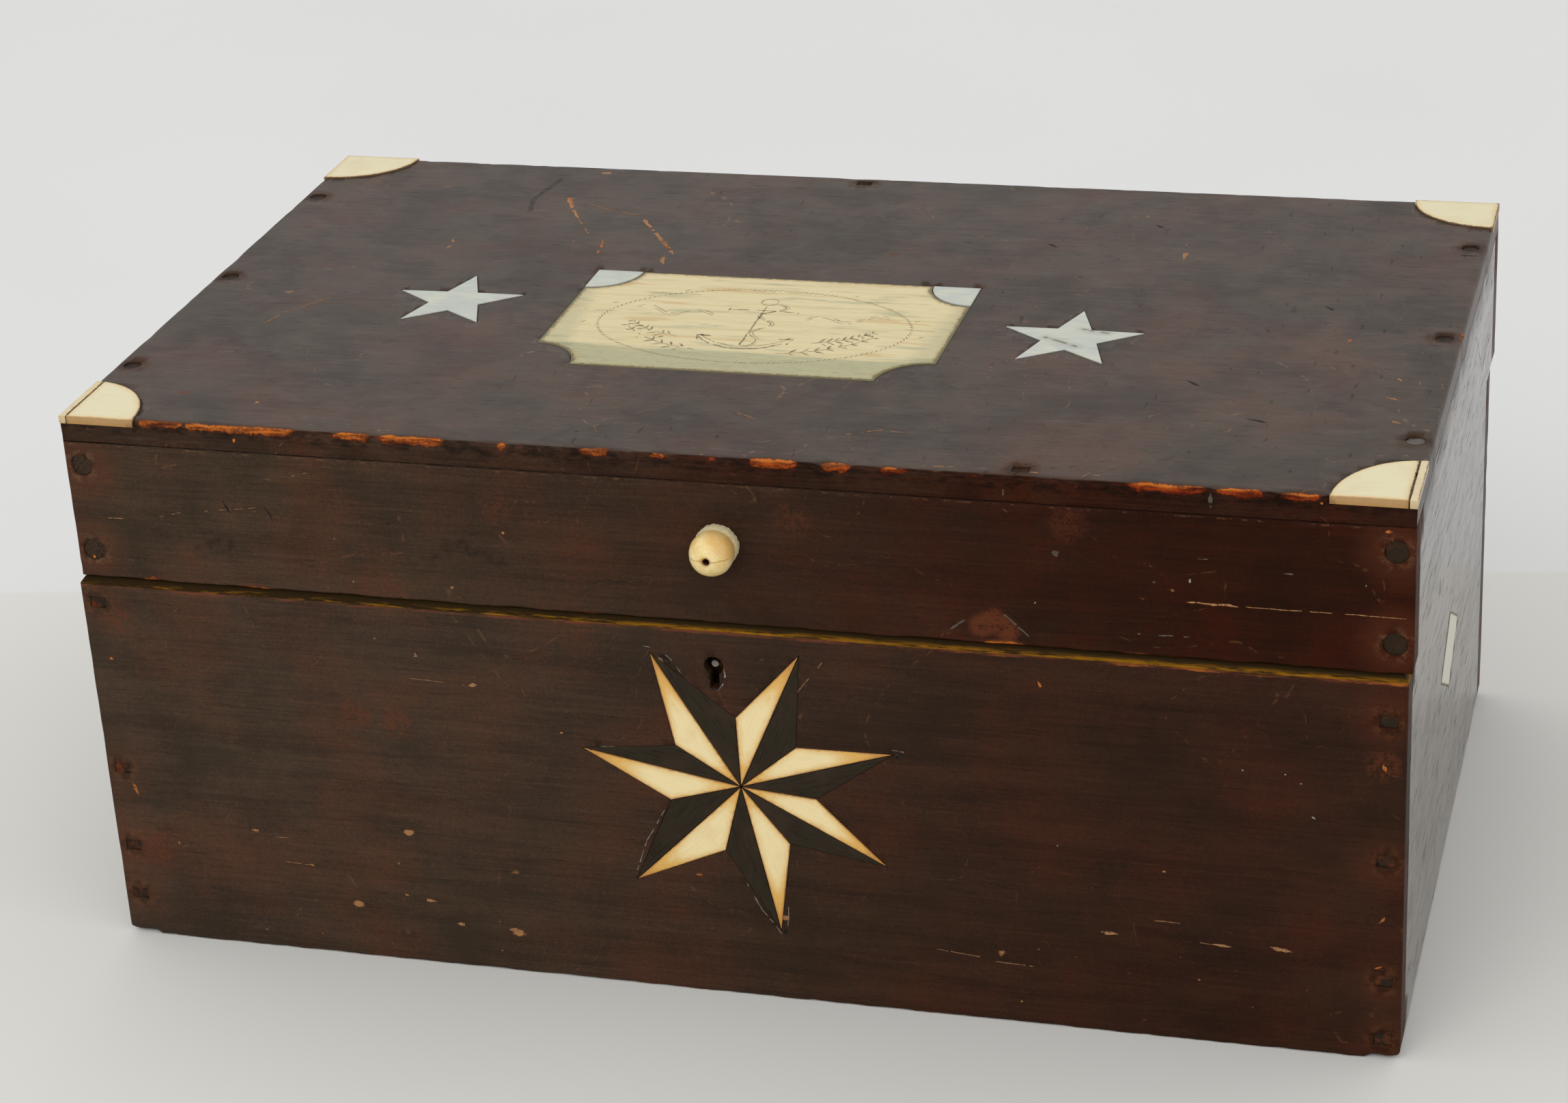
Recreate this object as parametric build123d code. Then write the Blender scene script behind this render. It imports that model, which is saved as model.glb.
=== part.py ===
"""Sailor's ditty box: a nailed and pegged wooden box whose lid is hinged at the back.

Bone, ebony and mother-of-pearl inlays decorate the front, the sides and the top.
Millimetres. +X runs to the right, +Y to the back and +Z up, and the origin is the
centre of the underside.
"""
import os
from math import cos, hypot, radians, sin, tan

from build123d import *

# ---- Boards -----------------------------------------------------------------
BOX_LENGTH = 380.0
BOX_DEPTH = 222.0
BASE_HEIGHT = 119.0
LID_HEIGHT = 50.0
WALL = 10.0
TOP_BOARD = 7.5
BOTTOM_BOARD = 8.0
BOTTOM_REBATE = 5.0          # how far the bottom board is let in under the walls
LID_SHIFT = 1.2              # the lid has crept this far to the right of the base
SEAM_GAP = 0.1               # between the base's rim and the lid's rim
BOARD_FIT = 0.05             # each side, between boards that are let into each other

RIM_CHAMFER_OUT = 1.8        # the base's top arris, across
RIM_CHAMFER_DOWN = 2.4       # and down
TOP_ARRIS = 1.6              # rounding of the lid's top edge
CORNER_ARRIS = 0.9           # rounding of the upright corners
FOOT_ARRIS = 0.8             # rounding round the underside

# ---- Nails and pegs ---------------------------------------------------------
NAIL_HEAD = (4.8, 3.4)       # cut nail: head across, head thick way
NAIL_HEAD_HEIGHT = 1.0
NAIL_SHANK = (2.6, 2.0)
NAIL_TIP = 1.2
NAIL_LENGTH = 32.0
NAIL_SINK = 0.3              # heads are punched this far below the surface
NAIL_FIT = 0.05
BOTTOM_NAIL_LENGTH = 24.0
BOTTOM_NAIL_SPACING = 85.0
TOP_NAIL_LENGTH = 22.0
LEFT_NAIL_LOW = 14.0         # lowest nail at the left corners, above the underside
RIGHT_NAIL_LOW = 6.5
LEFT_NAIL_RIM = 8.0          # highest nail at the left corners, below the rim
RIGHT_NAIL_RIM = 14.0
LEFT_NAIL_STEPS = (0.0, 0.17, 0.44, 1.0)
RIGHT_NAIL_STEPS = (0.0, 0.19, 0.57, 1.0)
PEG_RADIUS = 3.2
PEG_LENGTH = 26.0
PEG_SINK = 0.2
PEG_FIT = 0.05
PEG_RIM = 8.8                # lid pegs: lowest one above the lid's rim
PEG_DROP = 7.2               # highest one below the top board
TOP_PEG_RADIUS = 2.6
TOP_PEG_STEP = 72.0          # pegs along each end of the top board
FRONT_NAIL_X = 87.0          # nail near the front edge of the top board
BACK_NAIL_X = -9.0           # nail near its back edge

# ---- Inlays on the lid ------------------------------------------------------
INLAY_FIT = 0.15             # each side, between an inlay and its pocket
CORNER_PLATE = 2.0           # thickness of the bone corner plates
CORNER_PROUD = 0.35
FRONT_CORNER_X = 22.5
FRONT_CORNER_Y = 25.5
BACK_CORNER_X = 25.5
BACK_CORNER_Y = 21.5
STRIP_WIDTH = 2.0            # strips broken off along the front corner plates
STRIP_CRACK = 0.4
PLAQUE_LENGTH = 119.0
PLAQUE_WIDTH = 73.4
PLAQUE_X = -12.5             # from the middle of the lid
PLAQUE_Y = -16.4
PLAQUE_NOTCH = 14.5
PLAQUE_THICKNESS = 1.8
PEARL_PROUD = 0.1
LEFT_STAR_X = -107.5
LEFT_STAR_Y = -9.9
LEFT_STAR_RADIUS = 20.3
LEFT_STAR_TURN = 1.5
RIGHT_STAR_X = 80.8
RIGHT_STAR_Y = -14.6
RIGHT_STAR_RADIUS = 21.3
RIGHT_STAR_TURN = 0.0
STAR_POINTS = 5
STAR_WAIST = 0.40            # inner radius of a pearl star over its outer radius
PEARL_THICKNESS = 1.2

# ---- Inlays on the base -----------------------------------------------------
INLAY = 1.5                  # thickness of the bone and ebony in the base
COMPASS_X = 5.6              # centre of the front star
COMPASS_DROP = 50.5          # below the rim
COMPASS_RADIUS = 47.0
COMPASS_WAIST = 21.8
COMPASS_TIP_ANGLES = (66.0, 17.7, -27.8, -78.6, -134.7, 169.8, 120.8)    # degrees from +X
COMPASS_VALLEY_ANGLES = (91.0, 40.0, -4.9, -51.8, -105.0, -163.3, 148.0)
COMPASS_JOINT = 0.12         # each side of a joint between two pieces
DIAMOND_HALF_LENGTH = 22.5
DIAMOND_HALF_HEIGHT = 12.2
DIAMOND_DROP = 48.0          # below the rim
DIAMOND_Y = 0.7

# ---- Knob -------------------------------------------------------------------
KNOB_X = 3.6
KNOB_HEIGHT = 24.4           # above the lid's rim
KNOB_LENGTH = 12.0
KNOB_RADIUS = 6.15
KNOB_BELLY = 6.2             # widest place, out from the lid
KNOB_NECK = 5.7
KNOB_NECK_OUT = 2.9
KNOB_COLLAR = 6.3
KNOB_COLLAR_LENGTH = 1.6
KNOB_TENON_RADIUS = 2.6
KNOB_TENON_LENGTH = 9.0
KNOB_CENTRE_HOLE = 1.0
KNOB_CENTRE_DEPTH = 3.0
KNOB_FIT = 0.05

# ---- Hinges -----------------------------------------------------------------
LID_OPENING = 105.0          # degrees at which the bevelled back edges meet
BEVEL_EASE = 1.0             # degrees left free there
PIN_INSET = 1.5              # hinge pin in front of the back face
HINGE_END = 72.0             # each hinge's middle from the end of the box
HINGE_X = BOX_LENGTH / 2 - HINGE_END
HINGE_LENGTH = 38.0
HINGE_LEAF = 8.0             # from the pin to the leaf's front edge
LEAF_THICKNESS = 1.2
KNUCKLE_RADIUS = 2.0
KNUCKLE_GAP = 0.15
KNUCKLE_ROOM = 0.3
PIN_RADIUS = 0.9
PIN_FIT = 0.05
HINGE_SCREW_STEP = 13.0

# ---- Screws -----------------------------------------------------------------
SCREW_HEAD = 2.2
SCREW_SHANK = 1.1
SCREW_LENGTH = 8.0
SCREW_CONE = 1.0
SCREW_SLOT = 0.5
SCREW_SLOT_DEPTH = 0.5
SCREW_FIT = 0.06

# ---- Lock -------------------------------------------------------------------
LOCK_SKIN = 2.6              # wood left between the lock and the front face
LOCK_HEIGHT = 30.0
LOCK_CASE_HEIGHT = 26.0
LOCK_PLATE = 1.2
LOCK_RIM_PLATE = 1.5
LOCK_SCREW_EDGE = 1.0        # metal left round the screw heads
LOCK_SCREW_DROPS = (7.0, 24.0)
CASE_WALL = 1.0
CASE_ROOM = 0.5              # between the drawn bolt and the case's end
LOCK_FIT = 0.1
KEY_DROP = 13.0              # keyhole below the rim
KEYHOLE_RADIUS = 2.8
KEYHOLE_SLOT = 2.9
KEYHOLE_LENGTH = 9.8
DRILL_PIN_RADIUS = 1.0
DRILL_PIN_SETBACK = 1.6      # its end behind the front face
STAPLE_X = 10.0              # each staple from the keyhole
STAPLE_THICKNESS = 2.0
STAPLE_GAP = 1.0             # from a drawn nose to its staple
STAPLE_SIDE = 0.8
STAPLE_FOOT = 1.0
STAPLE_ROOM = 0.5
BOLT_THROW = 4.0
BOLT_THICKNESS = 1.8
BOLT_TAIL = 12.0             # right end of the bolt's bar from the keyhole
BOLT_BAR_DROP = 6.6          # top of the bar below the rim
BOLT_BAR_HEIGHT = 4.4
BOLT_NOSE_DROP = 2.5         # top of the noses below the rim
BOLT_NOSE_HEIGHT = 2.0
BOLT_NOSE_SPARE = 0.6        # from the thrown bolt's arms to the staples
BOLT_ARM = 2.4
BOLT_STUD_RADIUS = 0.8
BOLT_STUD_X = -5.0
BOLT_FIT = 0.08
KEY_NOTCH = 1.0
LINK_PLATE_HALF = 21.0
LINK_PLATE = 1.3
LINK_SCREW_EDGE = 2.3
SPRING_THICKNESS = 0.5

# ---- Derived places ---------------------------------------------------------
HALF_LENGTH = BOX_LENGTH / 2
HALF_DEPTH = BOX_DEPTH / 2
FRONT = -HALF_DEPTH
BACK = HALF_DEPTH
LID_RIM = BASE_HEIGHT + SEAM_GAP
LID_TOP = LID_RIM + LID_HEIGHT
FRAME_TOP = LID_TOP - TOP_BOARD
PIN_Y = BACK - PIN_INSET
PIN_Z = BASE_HEIGHT + SEAM_GAP / 2
INNER_FRONT = FRONT + WALL
LOCK_FRONT = FRONT + LOCK_SKIN
PLATE_FACE = INNER_FRONT - LOCK_PLATE
CAVITY_FRONT = LOCK_FRONT + CASE_WALL
BOLT_Y = (PLATE_FACE + CAVITY_FRONT) / 2
KEY_Z = BASE_HEIGHT - KEY_DROP
BOLT_NOSE = BOLT_THROW - STAPLE_GAP + BOLT_NOSE_SPARE
BOLT_END = STAPLE_X + STAPLE_THICKNESS / 2 + STAPLE_GAP + BOLT_NOSE + BOLT_ARM
LOCK_CASE_HALF = BOLT_END + CASE_ROOM + CASE_WALL
LOCK_SCREW_X = LOCK_CASE_HALF + SCREW_HEAD + LOCK_SCREW_EDGE
LOCK_PLATE_HALF = LOCK_SCREW_X + SCREW_HEAD + LOCK_SCREW_EDGE
LINK_SCREW_X = LINK_PLATE_HALF - SCREW_HEAD - LINK_SCREW_EDGE
OUT = 2.0                    # how far a cutting tool reaches past a surface


# ---- Helpers ----------------------------------------------------------------
def slab(x, y, z):
    """A box given by its low and high ends along each axis."""
    size = [high - low for low, high in (x, y, z)]
    middle = [(high + low) / 2 for low, high in (x, y, z)]
    return Pos(*middle) * Box(*size)


def prism(points, direction, depth):
    """A closed outline of 3-D points, drawn out along a direction."""
    return extrude(make_face(Polyline(*points, close=True)), depth, dir=direction)


def on_surface(point, outward, along):
    """Location whose Z points out of a surface and whose X lies along it."""
    return Plane(origin=point, x_dir=along, z_dir=outward).location


def grown(pairs, amount):
    """Each number of a size with a clearance added."""
    return [size + amount for size in pairs]


def steps(low, high, shares):
    """Places between low and high at the given shares of the run."""
    return [low + (high - low) * share for share in shares]


def run_of(half_run, spacing):
    """Places evenly spread from -half_run to +half_run, about spacing apart."""
    count = max(2, round(2 * half_run / spacing) + 1)
    return [-half_run + 2 * half_run * i / (count - 1) for i in range(count)]


def inset_triangle(corners, gap):
    """Triangle moved in by the gap on each side, in any plane."""
    sides = [(corners[(i + 1) % 3] - corners[(i + 2) % 3]).length for i in range(3)]
    around = sum(sides)
    middle = Vector(0, 0, 0)
    for corner, side in zip(corners, sides):
        middle += corner * (side / around)
    area = (corners[1] - corners[0]).cross(corners[2] - corners[0]).length / 2
    radius = 2 * area / around
    share = (radius - gap) / radius
    return [middle + (corner - middle) * share for corner in corners]


def cut(body, tools):
    """Body less every tool."""
    for tool in tools:
        body -= tool
    return body


# ---- Fasteners --------------------------------------------------------------
def nail(length, clearance=0.0, open_by=0.0):
    """Cut nail along -Z from the surface, its head sunk; open_by clears the way in."""
    head_x, head_y = grown(NAIL_HEAD, 2 * clearance)
    shank_x, shank_y = grown(NAIL_SHANK, 2 * clearance)
    tip = NAIL_TIP + 2 * clearance
    under = -NAIL_SINK - NAIL_HEAD_HEIGHT - clearance
    end = -length - clearance
    head = slab((-head_x / 2, head_x / 2), (-head_y / 2, head_y / 2), (under, open_by - NAIL_SINK))
    outline = [(-shank_x / 2, -shank_y / 2, under), (shank_x / 2, -shank_y / 2, under),
               (tip / 2, -shank_y / 2, end), (-tip / 2, -shank_y / 2, end)]
    return head + prism(outline, (0, 1, 0), shank_y)


def peg(radius, length, clearance=0.0, open_by=0.0):
    """Wooden peg along -Z from the surface."""
    top = open_by - PEG_SINK
    low = -length - clearance
    shaft = Cylinder(radius + clearance, top - low)
    return Pos(0, 0, (top + low) / 2) * shaft


def screw(length=SCREW_LENGTH):
    """Countersunk slotted wood screw along -Z, its head flush."""
    cone = Pos(0, 0, -SCREW_CONE / 2) * Cone(SCREW_SHANK, SCREW_HEAD, SCREW_CONE)
    shank = Pos(0, 0, -(SCREW_CONE + length) / 2) * Cylinder(SCREW_SHANK, length - SCREW_CONE)
    slot = slab((-SCREW_HEAD, SCREW_HEAD), (-SCREW_SLOT / 2, SCREW_SLOT / 2), (-SCREW_SLOT_DEPTH, OUT))
    return cone + shank - slot


def screw_hole(length=SCREW_LENGTH):
    """Countersunk hole for the same screw."""
    wide = SCREW_HEAD + SCREW_FIT
    narrow = SCREW_SHANK + SCREW_FIT
    cone = Pos(0, 0, -SCREW_CONE / 2) * Cone(narrow, wide, SCREW_CONE)
    deep = length + SCREW_FIT
    shank = Pos(0, 0, -deep / 2) * Cylinder(narrow, deep)
    mouth = Pos(0, 0, OUT / 2) * Cylinder(wide, OUT)
    return cone + shank + mouth


def corner_nail_places():
    """Surface locations of the nails that hold the front and back to the ends."""
    left = steps(LEFT_NAIL_LOW, BASE_HEIGHT - LEFT_NAIL_RIM, LEFT_NAIL_STEPS)
    right = steps(RIGHT_NAIL_LOW, BASE_HEIGHT - RIGHT_NAIL_RIM, RIGHT_NAIL_STEPS)
    inset = HALF_LENGTH - WALL / 2
    places = []
    for x, heights in ((-inset, left), (inset, right)):
        for z in heights:
            places.append(on_surface((x, FRONT, z), (0, -1, 0), (1, 0, 0)))
            places.append(on_surface((x, BACK, z), (0, 1, 0), (1, 0, 0)))
    return places


def bottom_nail_places():
    """Surface locations of the nails driven up through the bottom board's edge."""
    lap = WALL - BOTTOM_REBATE / 2
    half_x = HALF_LENGTH - lap
    half_y = HALF_DEPTH - lap
    long_run = run_of(half_x - 2 * WALL, BOTTOM_NAIL_SPACING)
    short_run = run_of(half_y - 2 * WALL, BOTTOM_NAIL_SPACING)
    points = [(x, y) for x in long_run for y in (-half_y, half_y)]
    points += [(x, y) for y in short_run for x in (-half_x, half_x)]
    return [on_surface((x, y, 0), (0, 0, -1), (1, 0, 0)) for x, y in points]


def lid_peg_places():
    """Surface locations of the pegs that hold the lid's front and back to its ends."""
    inset = HALF_LENGTH - WALL / 2
    heights = (LID_RIM + PEG_RIM, FRAME_TOP - PEG_DROP)
    return [on_surface((LID_SHIFT + side * inset, face, z), (0, out, 0), (1, 0, 0))
            for side in (-1, 1) for z in heights for face, out in ((FRONT, -1), (BACK, 1))]


def top_peg_places():
    """Surface locations of the pegs down into the lid's ends."""
    inset = HALF_LENGTH - WALL / 2
    return [on_surface((LID_SHIFT + side * inset, y, LID_TOP), (0, 0, 1), (1, 0, 0))
            for side in (-1, 1) for y in (-TOP_PEG_STEP, 0, TOP_PEG_STEP)]


def top_nail_places():
    """Surface locations of the nails down into the lid's front and back."""
    return [on_surface((FRONT_NAIL_X, FRONT + WALL / 2, LID_TOP), (0, 0, 1), (1, 0, 0)),
            on_surface((BACK_NAIL_X, BACK - WALL / 2, LID_TOP), (0, 0, 1), (1, 0, 0))]


def hinge_screw_places(leaf_face, outward):
    """Surface locations of the screws of both hinges in one kind of leaf."""
    y = PIN_Y - (KNUCKLE_RADIUS + HINGE_LEAF) / 2
    return [on_surface((side * HINGE_X + step * HINGE_SCREW_STEP, y, leaf_face), (0, 0, outward), (1, 0, 0))
            for side in (-1, 1) for step in (-1, 0, 1)]


def lock_screw_places():
    """Surface locations of the screws through the lock's plate."""
    return [on_surface((side * LOCK_SCREW_X, INNER_FRONT, BASE_HEIGHT - drop), (0, 1, 0), (1, 0, 0))
            for side in (-1, 1) for drop in LOCK_SCREW_DROPS]


def link_screw_places():
    """Surface locations of the screws up through the link plate."""
    return [on_surface((side * LINK_SCREW_X, BOLT_Y, LID_RIM), (0, 0, -1), (1, 0, 0))
            for side in (-1, 1)]


def fasteners(places, piece):
    """One copy of a fastener at each place."""
    return [place * piece for place in places]


# ---- Outer forms ------------------------------------------------------------
def base_form():
    """Outer form of the base: arrises rounded, rim chamfered, back rim bevelled."""
    form = slab((-HALF_LENGTH, HALF_LENGTH), (FRONT, BACK), (0, BASE_HEIGHT))
    form = fillet(form.edges().filter_by(Axis.Z), CORNER_ARRIS)
    form = fillet(form.edges().group_by(Axis.Z)[0], FOOT_ARRIS)
    form -= back_bevel(-1)
    low = BASE_HEIGHT - RIM_CHAMFER_DOWN
    above = BASE_HEIGHT + OUT
    start_y = FRONT - OUT
    start_x = -HALF_LENGTH - OUT
    for side in (-1, 1):
        edge = side * HALF_LENGTH
        inside = edge - side * RIM_CHAMFER_OUT
        outside = edge + side * OUT
        wedge = [(inside, start_y, BASE_HEIGHT), (edge, start_y, low), (outside, start_y, low),
                 (outside, start_y, above), (inside, start_y, above)]
        form -= prism(wedge, (0, 1, 0), BOX_DEPTH + 2 * OUT)
    inside = FRONT + RIM_CHAMFER_OUT
    wedge = [(start_x, inside, BASE_HEIGHT), (start_x, FRONT, low), (start_x, start_y, low),
             (start_x, start_y, above), (start_x, inside, above)]
    return form - prism(wedge, (1, 0, 0), BOX_LENGTH + 2 * OUT)


def back_bevel(side):
    """Wedge planed off a back edge behind the hinge pin: side -1 below, +1 above."""
    slope = tan(radians(LID_OPENING / 2 + BEVEL_EASE))
    rim = BASE_HEIGHT if side < 0 else LID_RIM
    drop = (PIN_INSET + OUT) * slope
    start = -HALF_LENGTH - WALL
    outline = [(start, PIN_Y, rim), (start, PIN_Y, rim - side * OUT),
               (start, BACK + OUT, rim - side * OUT), (start, BACK + OUT, rim + side * drop)]
    return prism(outline, (1, 0, 0), BOX_LENGTH + 2 * WALL)


def lid_form():
    """Outer form of the lid: top edge rounded, back rim bevelled."""
    form = slab((LID_SHIFT - HALF_LENGTH, LID_SHIFT + HALF_LENGTH), (FRONT, BACK), (LID_RIM, LID_TOP))
    form = fillet(form.edges().filter_by(Axis.Z), CORNER_ARRIS)
    form = fillet(form.edges().group_by(Axis.Z)[-1], TOP_ARRIS)
    return form - back_bevel(1)


# ---- Hinges -----------------------------------------------------------------
def knuckle_spans():
    """X ends of the three knuckles of a hinge, measured from its middle."""
    third = HINGE_LENGTH / 3
    start = -HINGE_LENGTH / 2
    spans = []
    for i in range(3):
        low = start + i * third + (KNUCKLE_GAP / 2 if i > 0 else 0)
        high = start + (i + 1) * third - (KNUCKLE_GAP / 2 if i < 2 else 0)
        spans.append((low, high))
    return spans


def x_cylinder(radius, x, y, z):
    """Round bar along X between two ends."""
    low, high = x
    return Pos((low + high) / 2, y, z) * Rot(0, 90, 0) * Cylinder(radius, high - low)


def hinge_leaf(middle, upper):
    """One leaf with its knuckles; the upper leaf has the middle knuckle."""
    spans = knuckle_spans()
    own = spans[1:2] if upper else [spans[0], spans[2]]
    near, far = (LID_RIM + SEAM_GAP / 2, LID_RIM + SEAM_GAP / 2 + LEAF_THICKNESS)
    if not upper:
        near, far = (BASE_HEIGHT - SEAM_GAP / 2 - LEAF_THICKNESS, BASE_HEIGHT - SEAM_GAP / 2)
    edge = PIN_Y - KNUCKLE_RADIUS - KNUCKLE_ROOM
    half = HINGE_LENGTH / 2
    leaf = slab((middle - half, middle + half), (PIN_Y - HINGE_LEAF, edge), (near, far))
    for low, high in own:
        span = (middle + low, middle + high)
        leaf += slab(span, (edge - KNUCKLE_ROOM, PIN_Y), (near, far))
        leaf += x_cylinder(KNUCKLE_RADIUS, span, PIN_Y, PIN_Z)
    return leaf - x_cylinder(PIN_RADIUS + PIN_FIT, (middle - half - OUT, middle + half + OUT), PIN_Y, PIN_Z)


def hinge_recess(middle, upper):
    """Mortise for one leaf, with room for all three knuckles."""
    half = HINGE_LENGTH / 2 + LOCK_FIT
    room = KNUCKLE_RADIUS + KNUCKLE_ROOM
    deep = LEAF_THICKNESS + SEAM_GAP / 2
    rim, sign = (LID_RIM, 1) if upper else (BASE_HEIGHT, -1)
    z = sorted((rim - sign * OUT, rim + sign * deep))
    span = (middle - half, middle + half)
    leaf = slab(span, (PIN_Y - HINGE_LEAF - LOCK_FIT, BACK + OUT), z)
    barrel = x_cylinder(room, span, PIN_Y, PIN_Z)
    way_out = slab(span, (PIN_Y, BACK + OUT), (PIN_Z - room, PIN_Z + room))
    return leaf + barrel + way_out


def hinge_pins():
    """A pin through the knuckles of each hinge."""
    half = HINGE_LENGTH / 2
    return [x_cylinder(PIN_RADIUS, (side * HINGE_X - half, side * HINGE_X + half), PIN_Y, PIN_Z)
            for side in (-1, 1)]


# ---- Lock -------------------------------------------------------------------
def keyhole(y):
    """Keyhole tool between two places along Y."""
    low, high = y
    round_part = Pos(0, (low + high) / 2, KEY_Z) * Rot(90, 0, 0) * Cylinder(KEYHOLE_RADIUS, high - low)
    foot = KEY_Z + KEYHOLE_RADIUS - KEYHOLE_LENGTH
    return round_part + slab((-KEYHOLE_SLOT / 2, KEYHOLE_SLOT / 2), y, (foot, KEY_Z))


def staple_y():
    """Ends along Y of a staple, with room each side inside the lock's case."""
    half = BOLT_THICKNESS / 2 + STAPLE_ROOM + STAPLE_SIDE
    return BOLT_Y - half, BOLT_Y + half


def staple_slots():
    """Slots in the lock's rim plate that the two staples drop through."""
    low, high = staple_y()
    half = STAPLE_THICKNESS / 2 + STAPLE_ROOM
    front = max(low - STAPLE_ROOM, CAVITY_FRONT)
    back = min(high + STAPLE_ROOM, PLATE_FACE)
    z = (BASE_HEIGHT - LOCK_RIM_PLATE - OUT, BASE_HEIGHT + OUT)
    return [slab((side * STAPLE_X - half, side * STAPLE_X + half), (front, back), z) for side in (-1, 1)]


def lock_plate():
    """Plate flush with the inside of the front board, its rim plate and the bolt's stud."""
    half = LOCK_PLATE_HALF
    plate = slab((-half, half), (PLATE_FACE, INNER_FRONT), (BASE_HEIGHT - LOCK_HEIGHT, BASE_HEIGHT))
    rim = slab((-half, half), (LOCK_FRONT, PLATE_FACE), (BASE_HEIGHT - LOCK_RIM_PLATE, BASE_HEIGHT))
    stud_length = PLATE_FACE - (BOLT_Y - BOLT_THICKNESS / 2)
    stud = Pos(BOLT_STUD_X, PLATE_FACE - stud_length / 2, bolt_stud_z()) * Rot(90, 0, 0)
    stud = stud * Cylinder(BOLT_STUD_RADIUS, stud_length)
    body = cut(plate + rim, staple_slots())
    body -= y_cylinder(DRILL_PIN_RADIUS + PIN_FIT, 0, (PLATE_FACE - OUT, INNER_FRONT + OUT), KEY_Z)
    body = body + stud
    return cut(body, fasteners(lock_screw_places(), screw_hole()))


def y_cylinder(radius, x, y, z):
    """Round bar along Y between two ends."""
    low, high = y
    return Pos(x, (low + high) / 2, z) * Rot(90, 0, 0) * Cylinder(radius, high - low)


def bolt_stud_z():
    """Height of the stud that guides the bolt, in the middle of its bar."""
    return BASE_HEIGHT - BOLT_BAR_DROP - BOLT_BAR_HEIGHT / 2


def lock_case():
    """Pressed cover over the lock's works, open towards the plate and the rim."""
    half = LOCK_CASE_HALF
    top = BASE_HEIGHT - LOCK_RIM_PLATE
    foot = BASE_HEIGHT - LOCK_CASE_HEIGHT
    outer = slab((-half, half), (LOCK_FRONT, PLATE_FACE), (foot, top))
    inner_x = grown_span((-half, half), -CASE_WALL)
    inner = slab(inner_x, (CAVITY_FRONT, PLATE_FACE + OUT), (foot + CASE_WALL, top + OUT))
    return outer - inner - keyhole((LOCK_FRONT - OUT, CAVITY_FRONT + PIN_FIT))


def drill_pin():
    """Pin that the hollow key turns on, riveted through the plate."""
    return y_cylinder(DRILL_PIN_RADIUS, 0, (FRONT + DRILL_PIN_SETBACK, INNER_FRONT), KEY_Z)


def lock_bolt():
    """Sliding bolt: a bar with a key notch and two hooked noses for the staples."""
    y = (BOLT_Y - BOLT_THICKNESS / 2, BOLT_Y + BOLT_THICKNESS / 2)
    bar_top = BASE_HEIGHT - BOLT_BAR_DROP
    nose_top = BASE_HEIGHT - BOLT_NOSE_DROP
    bolt = slab((-BOLT_END, BOLT_TAIL), y, (bar_top - BOLT_BAR_HEIGHT, bar_top))
    for side in (-1, 1):
        tip = side * STAPLE_X - STAPLE_THICKNESS / 2 - STAPLE_GAP
        arm = tip - BOLT_NOSE
        bolt += slab((arm - BOLT_ARM, arm), y, (bar_top - BOLT_FIT, nose_top))
        bolt += slab((arm - BOLT_FIT, tip), y, (nose_top - BOLT_NOSE_HEIGHT, nose_top))
    radius = BOLT_STUD_RADIUS + BOLT_FIT
    wide = (y[0] - OUT, y[1] + OUT)
    slot_ends = (BOLT_STUD_X - BOLT_THROW, BOLT_STUD_X)
    slot = slab(slot_ends, wide, (bolt_stud_z() - radius, bolt_stud_z() + radius))
    for end in slot_ends:
        slot += y_cylinder(radius, end, wide, bolt_stud_z())
    key_notch = y_cylinder(KEY_NOTCH, 0, wide, bar_top - BOLT_BAR_HEIGHT)
    return bolt - slot - key_notch


def lock_spring():
    """Leaf spring fixed in the case's lower left corner, bearing under the bolt's bar."""
    x0 = -LOCK_CASE_HALF + CASE_WALL
    floor = BASE_HEIGHT - LOCK_CASE_HEIGHT + CASE_WALL
    under = BASE_HEIGHT - BOLT_BAR_DROP - BOLT_BAR_HEIGHT
    reach = BOLT_THROW + BOLT_ARM - BOLT_END
    y = BOLT_Y - BOLT_THICKNESS / 2
    thick = SPRING_THICKNESS
    outline = [(x0, y, floor), (x0 + 2 * thick, y, floor), (x0 + 2 * thick, y, under - 4 * thick),
               (reach, y, under - thick - BOLT_FIT), (reach, y, under - BOLT_FIT),
               (x0, y, under - 3 * thick)]
    return prism(outline, (0, 1, 0), BOLT_THICKNESS)


def lock_mortise():
    """Room for the whole lock in the base's front board."""
    case_x = grown_span((-LOCK_CASE_HALF, LOCK_CASE_HALF), LOCK_FIT)
    plate_x = grown_span((-LOCK_PLATE_HALF, LOCK_PLATE_HALF), LOCK_FIT)
    deep = (LOCK_FRONT - LOCK_FIT, INNER_FRONT + OUT)
    shallow = (PLATE_FACE - LOCK_FIT, INNER_FRONT + OUT)
    above = BASE_HEIGHT + OUT
    case = slab(case_x, deep, (BASE_HEIGHT - LOCK_CASE_HEIGHT - LOCK_FIT, above))
    plate = slab(plate_x, shallow, (BASE_HEIGHT - LOCK_HEIGHT - LOCK_FIT, above))
    rim = slab(plate_x, deep, (BASE_HEIGHT - LOCK_RIM_PLATE - LOCK_FIT, above))
    return [case, plate, rim, keyhole((FRONT - OUT, LOCK_FRONT))]


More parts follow.
